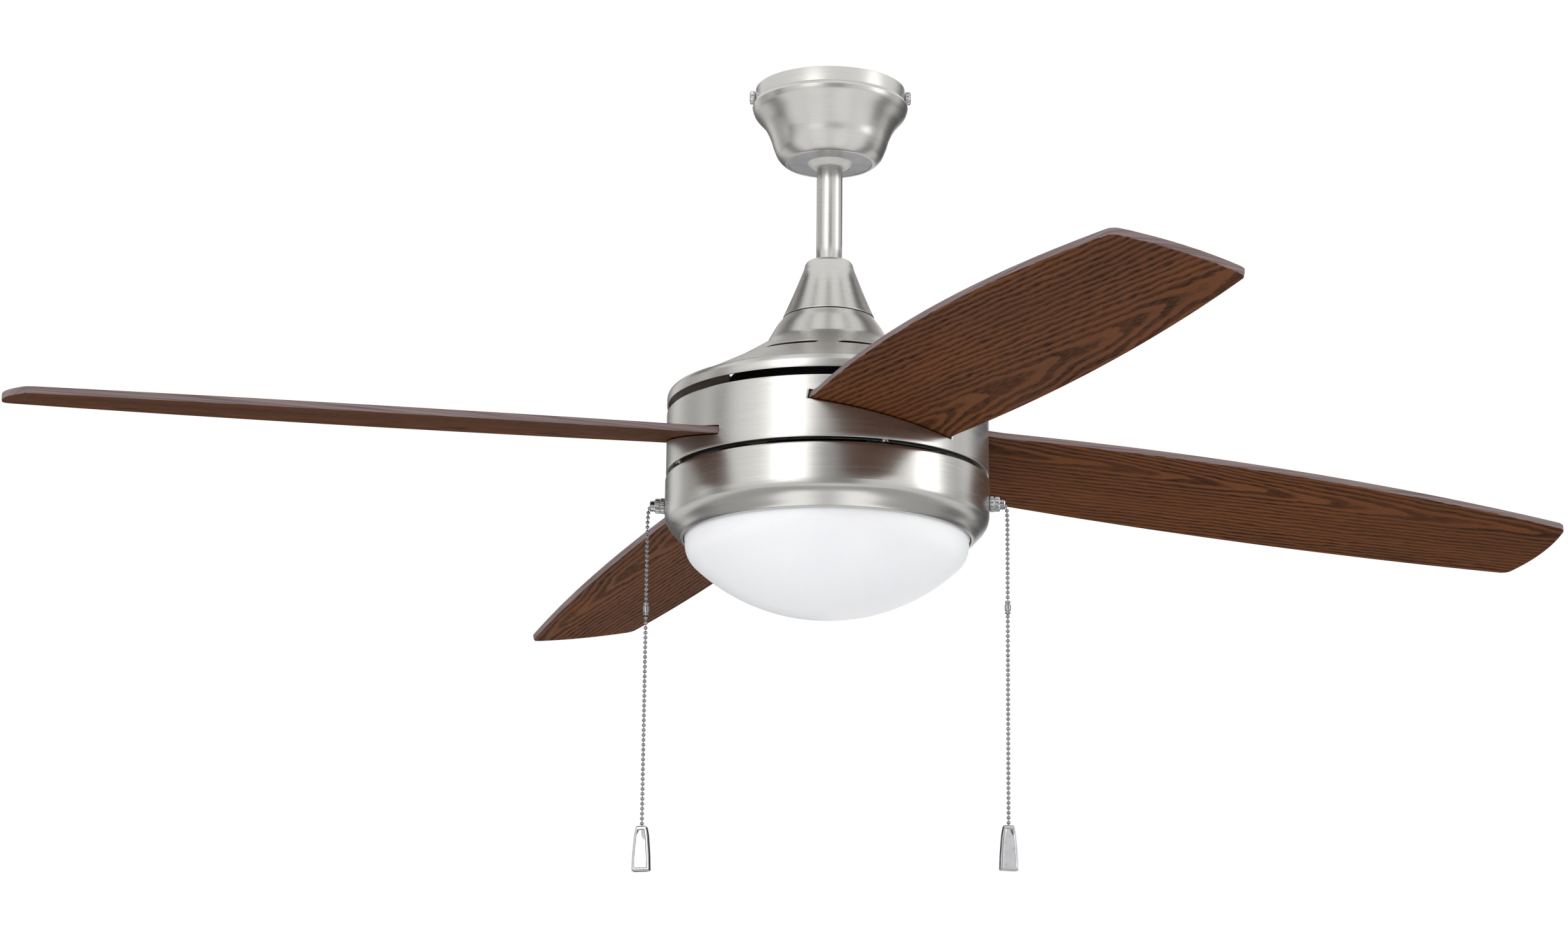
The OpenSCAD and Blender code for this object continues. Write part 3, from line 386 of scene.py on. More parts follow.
@dataclass(frozen=True)
class OakVeneer(Finish):
    """Dark oak veneer: arched growth rings, combed pores and a dull lacquer, read from the blade's layout."""

    light: Colour = display(117, 68, 34)
    warm: Colour = display(90, 52, 27)
    dark: Colour = display(26, 18, 14)
    centre: float = 0.036
    arches_per_m: float = 12.0
    rings_per_m: float = 165.0

    def make(self) -> bpy.types.Material:
        """A ring's number grows along the blade and with the distance from the figure's middle line, so its
        level lines are arches near that line and straight beside it. Each ring is dark at one side, and pores
        break the dark into short combs.

        Returns:
            The material.
        """
        g = Graph(self.name)
        layout = g.node("ShaderNodeUVMap", {"uv_map": "layout"}).out()
        split = g.node("ShaderNodeSeparateXYZ", None, {0: layout})
        along, across = split.out(0), split.out(1)
        drift = g.noise(along * 3.1, across * 9, 0.0, 2.0) - 0.5
        ripple = g.noise(along * 26, across * 70, 3.0, 2.0) - 0.5
        comb = g.noise(along * 22, across * 900, 5.0, 1.0) - 0.5
        side = across + drift * 0.03 - self.centre
        away = (side * side + 0.00009).root()
        level = along * self.arches_per_m + away * self.rings_per_m + drift * 3.2 + ripple * 1.1 + comb * 0.34
        place = level.fraction()
        ring = place.band(0.0, 0.08) * (1 - place.band(0.38, 0.72))
        dash = g.noise(along * 60, across * 1500, 1.0, 2.0).band(0.42, 0.6)
        strength = g.noise(along * 7, across * 30, 8.0, 1.0).band(0.25, 0.75)
        fine = g.noise(along * 30, across * 1100, 2.0, 2.0)
        mask = ring * (0.42 + dash * 0.58) * (0.66 + strength * 0.34)
        cloud = g.noise(along * 4, across * 22, 9.0, 2.0)
        base = g.blend((fine * 0.5 + cloud * 0.6 - 0.1).band(0.2, 0.8), self.light, self.warm)
        return g.finish(Base_Color=g.blend(mask, base, self.dark), Roughness=0.55 + mask * 0.2,
                        Specular_IOR_Level=0.06, Normal=g.bump(fine * 0.3 - mask, 0.05 * MM))


@dataclass(frozen=True)
class EdgeStrip(Finish):
    """Taupe edge strip round a blade, with faint lines along it."""

    tint: Colour = display(134, 118, 118)
    dark: Colour = display(100, 84, 82)

    def make(self) -> bpy.types.Material:
        """Faint lines are noise that is long in the level plane and short in height.

        Returns:
            The material.
        """
        g = Graph(self.name)
        x, y, z = g.place()
        line = g.noise(x * 12, y * 12, z * 1500, 2.0)
        return g.finish(Base_Color=g.blend(line.band(0.35, 0.7), self.tint, self.dark),
                        Roughness=0.45 + line * 0.1, Specular_IOR_Level=0.15, Normal=g.bump(line, 0.03 * MM))


@dataclass(frozen=True)
class OpalGlass(Finish):
    """Satin white glass, faintly cloudy, with a faint even painted glow: it emits its own colour weakly in
    place of light getting through it.
    """

    tint: Colour = display(250, 247, 250)
    # glow is the strength of the painted glow, an even emission over the whole glass
    glow: float = 0.055

    def make(self) -> bpy.types.Material:
        """The cloud is slow noise between two whites; the satin is a fine grain in the gloss; a weak emission
        of the glass's own colour is a painted glow.

        Returns:
            The material.
        """
        g = Graph(self.name)
        x, y, z = g.place()
        cloud = g.noise(x * 11, y * 11, z * 11, 3.0)
        satin = g.noise(x * 900, y * 900, z * 900, 2.0)
        colour = g.blend(cloud.band(0.3, 0.7), self.tint, tuple(c * 0.965 for c in self.tint))
        # the emission is a painted glow: the glass shines a little on its own though no light is lit inside
        # the bowl
        return g.finish(Base_Color=colour, Roughness=0.36 + satin * 0.1, Subsurface_Weight=0.35,
                        Subsurface_Scale=6 * MM, Emission_Color=colour, Emission_Strength=self.glow,
                        Coat_Weight=0.1, Coat_Roughness=0.2, Normal=g.bump(satin, 0.006 * MM))


@dataclass(frozen=True)
class Glow(Finish):
    """A softly lit panel, a little uneven."""

    strength: float = 1.5

    def make(self) -> bpy.types.Material:
        """Emission whose colour fades a little with slow noise.

        Returns:
            The material.
        """
        g = Graph(self.name)
        x, y, z = g.place()
        cloud = g.noise(x * 1.5, y * 1.5, z * 1.5)
        return g.finish(Base_Color=(0.0, 0.0, 0.0), Roughness=1.0, Emission_Strength=self.strength,
                        Emission_Color=g.blend(cloud, (1.0, 1.0, 1.0), (0.9, 0.9, 0.9)))


class Kit:
    """Every finish on the fan."""

    NICKEL = BrushedNickel("brushed_nickel")
    RING_NICKEL = BrushedNickel("ring_nickel", roughness=0.25, streak=0.06)
    CHROME = BrightPlate("bright_plate", display(196, 196, 199))
    BEADS = BrightPlate("bead_plate", display(164, 164, 167), 0.13)
    OAK = OakVeneer("oak_veneer")
    EDGE = EdgeStrip("blade_edge")
    OPAL = OpalGlass("opal_glass")
    BRACKET = Grained("painted_bracket", display(186, 187, 189), display(172, 173, 176),
                      0.38, 0.75, 2.0, 0.02)
    BY_SLOT: dict[str, Finish] = {
        "nickel": NICKEL,
        "chrome": CHROME,
        "zinc": Grained("zinc_plate", display(190, 190, 186), display(168, 168, 166), 0.34, 1.0, 2.4, 0.02),
        "steel": BrightPlate("bearing_steel", display(205, 206, 210), 0.18),
        "laminations": Layered("laminations", display(122, 122, 126), display(40, 40, 42), 1.0),
        # The motor shell is black as its enamel and also as painted shade: it makes the vents and the gaps
        # between the covers read dark.
        "shell": Grained("black_enamel_and_gap_shade", display(32, 32, 34), display(25, 25, 27), 0.5, 0.0, 1.2, 0.05),
        "copper": Layered("enamelled_copper", display(196, 112, 62), display(92, 40, 18), 1.4),
        "oak": OAK,
        "ground": Grained("green_plate", display(58, 122, 66), display(44, 98, 52), 0.35, 0.6, 1.0, 0.02),
        "black": Grained("black_moulding", display(34, 34, 36), display(26, 26, 28), 0.42, 0.0, 0.8, 0.04),
        "insulation": Grained("wire_insulation", display(44, 44, 48), display(34, 34, 36),
                              0.4, 0.0, 2.0, 0.02),
        "porcelain": Grained("white_socket", display(236, 235, 230), display(226, 225, 220),
                             0.22, 0.0, 3.0, 0.01, 0.5),
        "lamp": Grained("frosted_lamp", display(244, 243, 238), display(236, 235, 230), 0.35, 0.0, 0.6, 0.01),
        "opal": OPAL,
        "aluminium": Grained("rolled_aluminium", display(206, 207, 209), display(190, 191, 193),
                             0.3, 1.0, 1.8, 0.01),
        "orange": Grained("orange_cap", display(222, 128, 44), display(204, 112, 36), 0.4, 0.0, 1.0, 0.03),
        "white_plastic": Grained("white_knob", display(232, 232, 228), display(224, 224, 220),
                                 0.3, 0.0, 1.0, 0.02),
    }


# ---------------------------------------------------------------- surfaces


def unrolled(points: Array) -> Array:
    """Length travelled along a list of points, from 0 at the first."""
    return np.concatenate([[0.0], np.cumsum(np.linalg.norm(np.diff(points, axis=0), axis=1))])


def smooth_curve(points: Sequence[Sequence[float]], steps: int) -> Array:
    """A Catmull-Rom curve: cubics through the points, each point's slope half the way between its neighbours.

    Args:
        points: Points that the curve goes through.
        steps: Points made for each piece.

    Returns:
        The curve's points.
    """
    p = np.asarray(points, float)
    before, after = np.vstack([p[:1], p[:-1]]), np.vstack([p[2:], p[-1:], p[-1:]])[: len(p)]
    t = np.linspace(0, 1, steps, endpoint=False)[:, None]
    a, b, c, d = (v[: len(p) - 1, None, :] for v in (before, p, np.vstack([p[1:], p[-1:]]), after))
    curve = b + 0.5 * t * (c - a + t * (2 * a - 5 * b + 4 * c - d + t * (3 * (b - c) + d - a)))
    return np.vstack([curve.reshape(-1, p.shape[1]), p[-1:]])


def arc(centre: tuple[float, float], radius: float, start: float, end: float, steps: int = 10) -> Array:
    """Points of a circle's arc between two angles in degrees."""
    a = np.radians(np.linspace(start, end, steps + 1))
    return np.column_stack([centre[0] + radius * np.cos(a), centre[1] + radius * np.sin(a)])


def walled(path: Array, wall: float) -> Array:
    """A closed section: the path, and back along its copy moved by the wall to the right of the way it runs.

    Args:
        path: Radius and height along the outer face, from the top down.
        wall: Thickness.

    Returns:
        The section's points, in order.
    """
    way = np.empty_like(path)
    way[1:-1], way[0], way[-1] = path[2:] - path[:-2], path[1] - path[0], path[-1] - path[-2]
    way /= np.linalg.norm(way, axis=1, keepdims=True)
    inner = path + wall * np.column_stack([way[:, 1], -way[:, 0]])
    return np.vstack([path, inner[::-1]])


def eased(path: Array, ease: float) -> Array:
    """Rounds a closed section's corners: each one over 25 degrees becomes three points of a parabola.

    Args:
        path: The section's points, closed.
        ease: How far from the corner the rounding starts.

    Returns:
        The rounded section.
    """
    before, after = np.roll(path, 1, axis=0) - path, np.roll(path, -1, axis=0) - path
    lb, la = np.linalg.norm(before, axis=1), np.linalg.norm(after, axis=1)
    turn = np.einsum("ij,ij->i", before, after) / np.maximum(lb * la, 1e-12)
    reach = np.minimum(ease, 0.45 * np.minimum(lb, la))[:, None]
    first = path + before / np.maximum(lb, 1e-12)[:, None] * reach
    last = path + after / np.maximum(la, 1e-12)[:, None] * reach
    middle = 0.25 * first + 0.5 * path + 0.25 * last
    corner = turn > -math.cos(math.radians(25))
    count = np.where(corner, 3, 1)
    triple = np.stack([first, middle, last], axis=1)
    single = np.repeat(path[:, None, :], 3, axis=1)
    chosen = np.where(corner[:, None, None], triple, single)
    keep = np.arange(3)[None, :] < count[:, None]
    return chosen[keep]


def grid_faces(rows: int, columns: int, close_rows: bool = False, close_columns: bool = False) -> Array:
    """Quads of a grid of points numbered row by row.

    Args:
        rows: Number of rows.
        columns: Number of columns.
        close_rows: Joins the last row to the first.
        close_columns: Joins the last column to the first.

    Returns:
        Four point numbers for each quad.
    """
    i, j = np.meshgrid(np.arange(rows if close_rows else rows - 1),
                       np.arange(columns if close_columns else columns - 1), indexing="ij")
    k, m = (i + 1) % rows, (j + 1) % columns
    quads = np.stack([i * columns + j, i * columns + m, k * columns + m, k * columns + j], axis=-1)
    return quads.reshape(-1, 4)


@dataclass
class Shape:
    """Points in millimetres, quads, and a layout and a material number for each quad where they matter."""

    points: Array
    faces: Array
    layout: Optional[Array] = None
    parts: Optional[Array] = None

    @staticmethod
    def joined(shapes: Sequence["Shape"]) -> "Shape":
        """One shape made of several.

        Args:
            shapes: The shapes, all with or all without a layout and material numbers.

        Returns:
            Their union as one list of points and quads.
        """
        starts = np.cumsum([0] + [len(s.points) for s in shapes[:-1]])
        layout = None if shapes[0].layout is None else np.vstack([s.layout for s in shapes])
        parts = None if shapes[0].parts is None else np.concatenate([s.parts for s in shapes])
        return Shape(np.vstack([s.points for s in shapes]),
                     np.vstack([s.faces + n for s, n in zip(shapes, starts)]), layout, parts)

    def piece(self, name: str, finishes: Sequence[Finish], closed: bool = True,
              crease: float = 34.0) -> bpy.types.Object:
        """Puts the shape into a mesh, merges its seams and poles and turns its faces outwards.

        Args:
            name: The piece's name.
            finishes: Its materials.
            closed: Whether it is a closed body; an open sheet keeps the side its grid gives.
            crease: Edges that turn by more degrees than this stay sharp.

        Returns:
            The piece's object, at the origin.
        """
        mesh = bpy.data.meshes.new(name)
        corners = self.faces.astype(np.int32).ravel()
        mesh.vertices.add(len(self.points))
        mesh.vertices.foreach_set("co", (self.points * MM).astype(np.float32).ravel())
        mesh.loops.add(len(corners))
        mesh.loops.foreach_set("vertex_index", corners)
        mesh.polygons.add(len(self.faces))
        mesh.polygons.foreach_set("loop_start", np.arange(0, len(corners), 4, dtype=np.int32))
        if self.parts is not None:
            mesh.polygons.foreach_set("material_index", self.parts.astype(np.int32))
        mesh.update(calc_edges=True)
        if self.layout is not None:
            layout = mesh.uv_layers.new(name="layout")
            layout.data.foreach_set("uv", self.layout[corners].astype(np.float32).ravel())
        work = bmesh.new()
        work.from_mesh(mesh)
        bmesh.ops.remove_doubles(work, verts=work.verts, dist=1e-6)
        if closed:
            bmesh.ops.recalc_face_normals(work, faces=work.faces)
        work.to_mesh(mesh)
        work.free()
        mesh.shade_smooth()
        mesh.set_sharp_from_angle(angle=math.radians(crease))
        for finish in finishes:
            mesh.materials.append(finish.material())
        piece = bpy.data.objects.new(name, mesh)
        bpy.context.scene.collection.objects.link(piece)
        LOG.info("%s: %d faces", name, len(mesh.polygons))
        return piece


def lathe(section: Array, turns: int, ripple: Optional[Callable[[Array, Array], Array]] = None,
          closed: bool = True) -> Shape:
    """Turns a section round Z: a point at radius r and height z goes to (r cos a, r sin a, z).

    Args:
        section: Radius and height, in order.
        turns: Steps round the axis.
        ripple: Adds to the radius, given the angle and the place along the section, such as a knurl.
        closed: Joins the section's last point to its first.

    Returns:
        The shape.
    """
    a = np.linspace(0, 2 * np.pi, turns, endpoint=False)[None, :]
    r, z = section[:, :1] + 0 * a, section[:, 1:] + 0 * a
    if ripple is not None:
        r = r + ripple(a, np.linspace(0, 1, len(section))[:, None])
    points = np.stack([r * np.cos(a), r * np.sin(a), z], axis=-1).reshape(-1, 3)
    return Shape(points, grid_faces(len(section), turns, closed, True))


def turned_about(shape: Shape, matrix: Matrix) -> Shape:
    """The shape moved by a matrix whose shifts are in millimetres."""
    m = np.array(matrix)
    return Shape(shape.points @ m[:3, :3].T + m[:3, 3], shape.faces, shape.layout, shape.parts)


@dataclass
class Sector:
    """A part of a turned wall between two angles, with or without an opening."""

    start: float
    end: float
    steps: int
    opening: Optional[Callable[[Array, Array], Array]] = None


@dataclass
class PiercedWall:
    """A thin turned wall with openings. The wall is a grid of angle and height along the path. Round each
    opening the grid runs from the opening's outline out to its sector's border, in straight lines of angle
    and length.
    """

    path: Array
    sectors: list[Sector]
    zone: tuple[float, float]
    steps_along: int = 12
    rings: int = 9
    crowding: float = 1.6

    def on_wall(self, angle: Array, along: Array) -> Array:
        """Points of the wall.

        Args:
            angle: Angles in radians.
            along: Lengths along the path.

        Returns:
            Points, with the coordinates in the last axis.
        """
        travelled = unrolled(self.path)
        r = np.interp(along, travelled, self.path[:, 0])
        z = np.interp(along, travelled, self.path[:, 1])
        return np.stack([r * np.cos(angle), r * np.sin(angle), z], axis=-1)

    @staticmethod
    def border(steps: int, side: int) -> tuple[Array, Array]:
        """The border of a square from -1 to 1, once round.

        Args:
            steps: Steps along the top and the foot.
            side: Steps along each side.

        Returns:
            Both coordinates along the border.
        """
        p, q = np.linspace(-1, 1, steps, endpoint=False), np.linspace(-1, 1, side, endpoint=False)
        return (np.concatenate([p, np.ones(side), -p, -np.ones(side)]),
                np.concatenate([-np.ones(steps), q, np.ones(steps), -q]))

    def shape(self) -> Shape:
        """The whole wall as one open sheet.

        Returns:
            The shape.
        """
        travelled = unrolled(self.path)
        low, high = self.zone
        found: list[Shape] = []
        for sector in self.sectors:
            a0, a1 = np.radians(sector.start), np.radians(sector.end)
            turn = np.linspace(a0, a1, sector.steps + 1)
            for span in (np.append(travelled[travelled < low - 1e-6], low),
                         np.append(high, travelled[travelled > high + 1e-6])):
                if len(span) > 1:
                    points = self.on_wall(turn[None, :] + 0 * span[:, None],
                                          span[:, None] + 0 * turn[None, :])
                    found.append(Shape(points.reshape(-1, 3), grid_faces(len(span), len(turn))))
            if sector.opening is None:
                span = np.linspace(low, high, self.steps_along + 1)
                points = self.on_wall(turn[None, :] + 0 * span[:, None], span[:, None] + 0 * turn[None, :])
                found.append(Shape(points.reshape(-1, 3), grid_faces(len(span), len(turn))))
                continue
            p, q = self.border(sector.steps, self.steps_along)
            outer = np.stack([(a0 + a1) / 2 + p * (a1 - a0) / 2,
                              (low + high) / 2 + q * (high - low) / 2], axis=-1)
            inner = sector.opening(p, q)
            t = (np.linspace(0, 1, self.rings) ** self.crowding)[:, None, None]
            both = inner[None] * (1 - t) + outer[None] * t
            points = self.on_wall(both[..., 0], both[..., 1])
            faces = grid_faces(self.rings, len(p), False, True)
            found.append(Shape(points.reshape(-1, 3), faces[:, ::-1]))
        return Shape.joined(found)


def thickened(piece: bpy.types.Object, wall: float) -> bpy.types.Object:
    """Gives an open sheet its wall behind its faces, with slightly eased edges.

    Args:
        piece: The sheet, with its faces pointing out.
        wall: Thickness in millimetres.

    Returns:
        The same piece.
    """
    wall_maker = piece.modifiers.new("wall", "SOLIDIFY")
    wall_maker.thickness = wall * MM
    wall_maker.offset = -1.0
    edge = piece.modifiers.new("edge", "BEVEL")
    edge.width, edge.segments, edge.limit_method, edge.angle_limit = 0.2 * MM, 2, "ANGLE", math.radians(50)
    return piece


def faced_out(shape: Shape) -> Shape:
    """The same sheet with its quads turned, if need be, so that most of them face away from the axis."""
    quad = shape.points[shape.faces]
    normal = np.cross(quad[:, 2] - quad[:, 0], quad[:, 3] - quad[:, 1])
    middle = quad.mean(axis=1)
    outward = (normal[:, :2] * middle[:, :2]).sum(axis=1)
    flip = outward.sum() < 0
    return Shape(shape.points, shape.faces[:, ::-1] if flip else shape.faces, shape.layout, shape.parts)


def top_of(node: str) -> float:
    """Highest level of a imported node, in millimetres."""
    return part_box(node)[1][2] / MM


def foot_of(node: str) -> float:
    """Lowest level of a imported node, in millimetres."""
    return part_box(node)[0][2] / MM


# ---------------------------------------------------------------- sub-assemblies


class Body(Enum):
    """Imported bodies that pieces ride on."""

    MOUNT = "mount"
    SUSPENSION = "suspension"
    ROTOR = "rotor"
    BOWL = "bowl"
    FAN_PULL = "fan_pull"
    LIGHT_PULL = "light_pull"


def settle(piece: bpy.types.Object, body: Body, slot: str, *nodes: str) -> bpy.types.Object:
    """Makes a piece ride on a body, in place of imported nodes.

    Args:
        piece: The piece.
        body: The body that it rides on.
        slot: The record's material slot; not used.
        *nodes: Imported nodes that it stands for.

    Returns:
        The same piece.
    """
    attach(piece, body.value)
    if nodes:
        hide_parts(*nodes)
    return piece


class Shared:
    """Sizes in millimetres and angles in degrees that several sub-assemblies take."""

    HOUSING_RADIUS = 130.0
    RING_RADIUS = 130.5
    FIRST_BLADE = 21.0
    BLADE_PITCH = 10.0
    BLADE_DROOP = 2.5
    BLADE_DROP = 24.0
    KIT_TURN = -3.0


@dataclass
class Canopy:
    """The spun cover at the ceiling and its two thumb screws."""

    rim_radius: float = 61.5
    rim_height: float = 12.0
    bulge: float = 2.5
    mouth_radius: float = 34.7
    wall: float = 1.2
    screw_radius: float = 5.6
    screw_height: float = 4.8
    shank: float = 8.7
    knurls: int = 18
    curve: tuple[tuple[float, float], ...] = ((1, 0), (0.92, 0.13), (0.66, 0.32), (0.49, 0.53), (0.39, 0.72),
                                              (0.27, 0.885), (0.1, 0.985), (0, 1))

    def cover(self) -> None:
        """Builds the cover: straight rim, step, rounded shoulder and a hollow curve down to the mouth."""
        shoulder, level = self.rim_radius + self.bulge, -self.rim_height - 3.5
        foot = foot_of("canopy")
        share = np.array(self.curve)
        body = np.column_stack([self.mouth_radius + (shoulder - self.mouth_radius) * share[:, 0],
                                level + (foot - level) * share[:, 1]])
        path = np.vstack([[[self.rim_radius, 0.0], [self.rim_radius, -self.rim_height],
                           [shoulder - 1, -self.rim_height - 0.8]], smooth_curve(body, 7)])
        piece = lathe(eased(walled(path, self.wall), 0.5), 200).piece("canopy_cover", [Kit.NICKEL])
        settle(piece, Body.MOUNT, "nickel", "canopy")

    def screws(self) -> None:
        """Builds the two screws: a knurled head with a domed, rolled edge and a plain shank."""
        low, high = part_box("canopy_screws")
        level, reach = (low[2] + high[2]) / 2 / MM, high[0] / MM
        r, h = self.screw_radius, self.screw_height
        head = np.array([[0, h], [r - 1.6, h], [r - 0.5, h - 0.35], [r, h - 1.1], [r, 1.1], [r - 0.5, 0.4],
                         [r - 1.4, 0], [2, 0], [2, -self.shank], [0, -self.shank]])

        def knurl(angle: Array, along: Array) -> Array:
            """Teeth on the head's side: a clipped cosine of the angle."""
            return -0.45 * np.clip(np.cos(angle * self.knurls), 0, 1) * ((along > 0.2) & (along < 0.62))

        shapes = []
        for side in (1, -1):
            turn = (Matrix.Translation((side * (reach - h), 0, level))
                    @ Matrix.Rotation(side * math.pi / 2, 4, "Y"))
            shapes.append(turned_about(lathe(head, 108, ripple=knurl), turn))
        piece = Shape.joined(shapes).piece("canopy_thumb_screws", [Kit.CHROME], crease=28)
        settle(piece, Body.MOUNT, "chrome", "canopy_screws")

    def build(self) -> None:
        """Builds both."""
        self.cover()
        self.screws()


@dataclass
class Housing:
    """Downrod, yoke cover, top cover, turning band and light ring."""

    rod_radius: float = 10.5
    rod_wall: float = 1.8
    neck_radius: float = 37.0
    neck_top_radius: float = 20.0
    neck_bore: float = 15.7
    radius: float = Shared.HOUSING_RADIUS
    sheet: float = 1.2
    vents: int = 8
    vent_share: float = 0.74
    vent_out: float = 24.6
    vent_width: float = 7.0
    vent_round: float = 0.045
    vent_frame: tuple[float, float] = (8.6, 10.4)
    crease_out: float = 13.5
    crease_down: float = 22.0
    seam: float = 0.7
    slot_width: float = 123.0
    slot_low: float = -1.1
    slot_high: float = 6.5
    slot_margin: float = 3.0
    lip: float = 8.0
    band_edge: float = 0.5
    ring_radius: float = Shared.RING_RADIUS
    ring_wall: float = 1.5
    ring_bore: float = 18.0
    ring_mouth: float = 116.0
    window_width: float = 12.0
    window_height: float = 5.0
    window_drop: float = 10.0

    def rod(self) -> None:
        """Builds the downrod, a tube with eased ends."""
        top, foot = top_of("downrod"), foot_of("downrod")
        inner = self.rod_radius - self.rod_wall
        section = np.array([[inner, top], [self.rod_radius, top], [self.rod_radius, foot], [inner, foot]])
        piece = lathe(eased(section, 0.5), 96).piece("rod_tube", [Kit.NICKEL])
        settle(piece, Body.SUSPENSION, "nickel", "downrod")

    def yoke_cover(self) -> None:
        """Builds the cone over the yoke: a rolled top edge and a slightly hollow flank."""
        top, foot = top_of("yoke_cover"), foot_of("yoke_cover") + self.seam
        height, rise = top - foot, self.neck_radius - self.neck_top_radius
        flank = smooth_curve([[self.neck_top_radius + 0.6, top - 8],
                              [self.neck_top_radius + rise * 0.56, foot + height * 0.37],
                              [self.neck_radius, foot + 0.7]], 12)
        path = np.vstack([[[self.rod_radius + 0.8, top]], arc((self.neck_top_radius - 6, top - 6), 6, 90, 20),
                          flank, [[self.neck_radius, foot]]])
        piece = lathe(eased(walled(path, self.sheet), 0.4), 128).piece("yoke_cone", [Kit.NICKEL])
        settle(piece, Body.SUSPENSION, "nickel", "yoke_cover")

    def cover_path(self) -> Array:
        """Radius and height down the top cover's outer face.

        Returns:
            The path.
        """
        neck, lip = top_of("top_cover"), foot_of("top_cover")
        r0, z0 = self.neck_radius + self.crease_out, neck - self.crease_down
        wide, drop = self.radius - r0, z0 - lip
        collar = [[self.neck_radius + 0.6, neck - 1], [self.neck_radius + 6, neck - 8.5], [r0, z0]]
        slope = [[r0 + 2, z0 - 1.8], [r0 + wide * 0.33, z0 - drop * 0.32],
                 [r0 + wide * 0.63, z0 - drop * 0.56], [self.radius - 10, lip + 13.5]]
        return np.vstack([[[self.neck_bore, neck], [self.neck_radius, neck]], smooth_curve(collar, 6),
                          smooth_curve(slope, 9), arc((self.radius - 6, lip + 6), 6, 50, 0, 7),
                          [[self.radius, lip]]])

    def top_cover(self) -> None:
        """Builds the sloped cover with its ring of vent slots round the slope."""
        path = self.cover_path()
        travelled = unrolled(path)
        inner = self.neck_radius + self.crease_out + self.vent_out
        outer = inner + self.vent_width
        radii = (inner - self.vent_frame[0], inner, outer, outer + self.vent_frame[1])
        low, vent_low, vent_high, high = (float(np.interp(r, path[:, 0], travelled)) for r in radii)
        half = math.radians(self.vent_share / 2 * 360 / self.vents) - self.vent_round
        vent_middle, vent_half = (vent_low + vent_high) / 2, (vent_high - vent_low) / 2
        sectors = []
        for k in range(self.vents):
            middle = -90 + 180 / self.vents + 360 / self.vents * k

            def vent(p: Array, q: Array, centre: float = math.radians(middle)) -> Array:
                """A slot's outline: straight sides and half-round ends."""
                at_end = (np.abs(p) > 1 - 1e-9) * np.sign(p)
                swell = at_end * np.sqrt(np.clip(1 - q * q, 0, 1)) * self.vent_round
                return np.stack([centre + p * half + swell, vent_middle + q * vent_half], axis=-1)

            sectors.append(Sector(middle - 180 / self.vents, middle + 180 / self.vents, 24, vent))
        wall = PiercedWall(path, sectors, (low, high), steps_along=8, rings=8)
        piece = faced_out(wall.shape()).piece("top_cover_shell", [Kit.NICKEL], closed=False)
        settle(thickened(piece, self.sheet), Body.SUSPENSION, "nickel", "top_cover")

    def band(self) -> None:
        """Builds the turning band: a straight wall, an inward lip at top and foot, four leaning slots."""
        top, foot = top_of("blade_band"), foot_of("blade_band")
        r, lip, edge = self.radius, self.lip, self.band_edge
        crown = np.vstack([[[r - lip, top]], arc((r - edge, top - edge), edge, 90, 0, 3)])
        path = np.vstack([crown, arc((r - edge, foot + edge), edge, 0, -90, 3), [[r - lip, foot]]])
        travelled = unrolled(path)
        wall_start, wall_end = float(travelled[len(crown) - 1]), float(travelled[len(crown)])
        level = top - Shared.BLADE_DROP
        pitch, droop = math.radians(-Shared.BLADE_PITCH), math.radians(Shared.BLADE_DROOP)
        sectors = []
        for k in range(4):
            middle = Shared.FIRST_BLADE + 90 * k
            azimuth = math.radians(middle)
            turn = np.array(Matrix.Rotation(droop, 3, "Y") @ Matrix.Rotation(pitch, 3, "X"))

            def slot(p: Array, q: Array, azimuth: float = azimuth, turn: Array = turn) -> Array:
                """A slot's outline: a leaning rectangle carried out along the blade to the wall's circle."""
                v = p * self.slot_width / 2
                w = (self.slot_low + self.slot_high) / 2 - q * (self.slot_high - self.slot_low) / 2
                base = np.outer(v, turn[:, 1]) + np.outer(w, turn[:, 2])
                way = turn[:, 0]
                a = way[0] ** 2 + way[1] ** 2
                b = base[:, 0] * way[0] + base[:, 1] * way[1]
                c = base[:, 0] ** 2 + base[:, 1] ** 2 - r * r
                u = (-b + np.sqrt(b * b - a * c)) / a
                hit = base + np.outer(u, way)
                return np.stack([azimuth + np.arctan2(hit[:, 1], hit[:, 0]),
                                 wall_start + top - edge - (level + hit[:, 2])], axis=-1)

            sectors.append(Sector(middle - 45, middle + 45, 48, slot))
        zone = (wall_start + self.slot_margin, wall_end - self.slot_margin)
        wall = PiercedWall(path, sectors, zone, steps_along=10, rings=8)
        piece = faced_out(wall.shape()).piece("slotted_band", [Kit.NICKEL], closed=False)
        settle(thickened(piece, self.sheet), Body.ROTOR, "nickel", "blade_band")

    def ring(self) -> None:
        """Builds the light ring: a straight wall that rolls in to the bowl, with a window at the back."""
        top, foot = top_of("light_ring"), foot_of("light_ring")
        r = self.ring_radius
        crown = np.vstack([[[self.ring_bore, top], [r - 1.5, top]], arc((r - 2, top - 2), 2, 60, 0, 4)])
        roll = smooth_curve([[r, foot + 20], [r - 1.1, foot + 14.6], [r - 4, foot + 9.8],
                             [r - 8.5, foot + 4.9], [r - 12, foot + 1.2], [self.ring_mouth, foot]], 6)
        path = np.vstack([crown, [[r, top - 4], [r, top - 24]], roll])
        travelled = unrolled(path)
        start, end = float(travelled[len(crown)]), float(travelled[len(crown) + 1])
        middle = start + self.window_drop
        half = self.window_width / 2 / r

        def window(p: Array, q: Array) -> Array:
            """A plain rectangle."""
            return np.stack([math.pi / 2 + p * half, middle + q * self.window_height / 2], axis=-1)

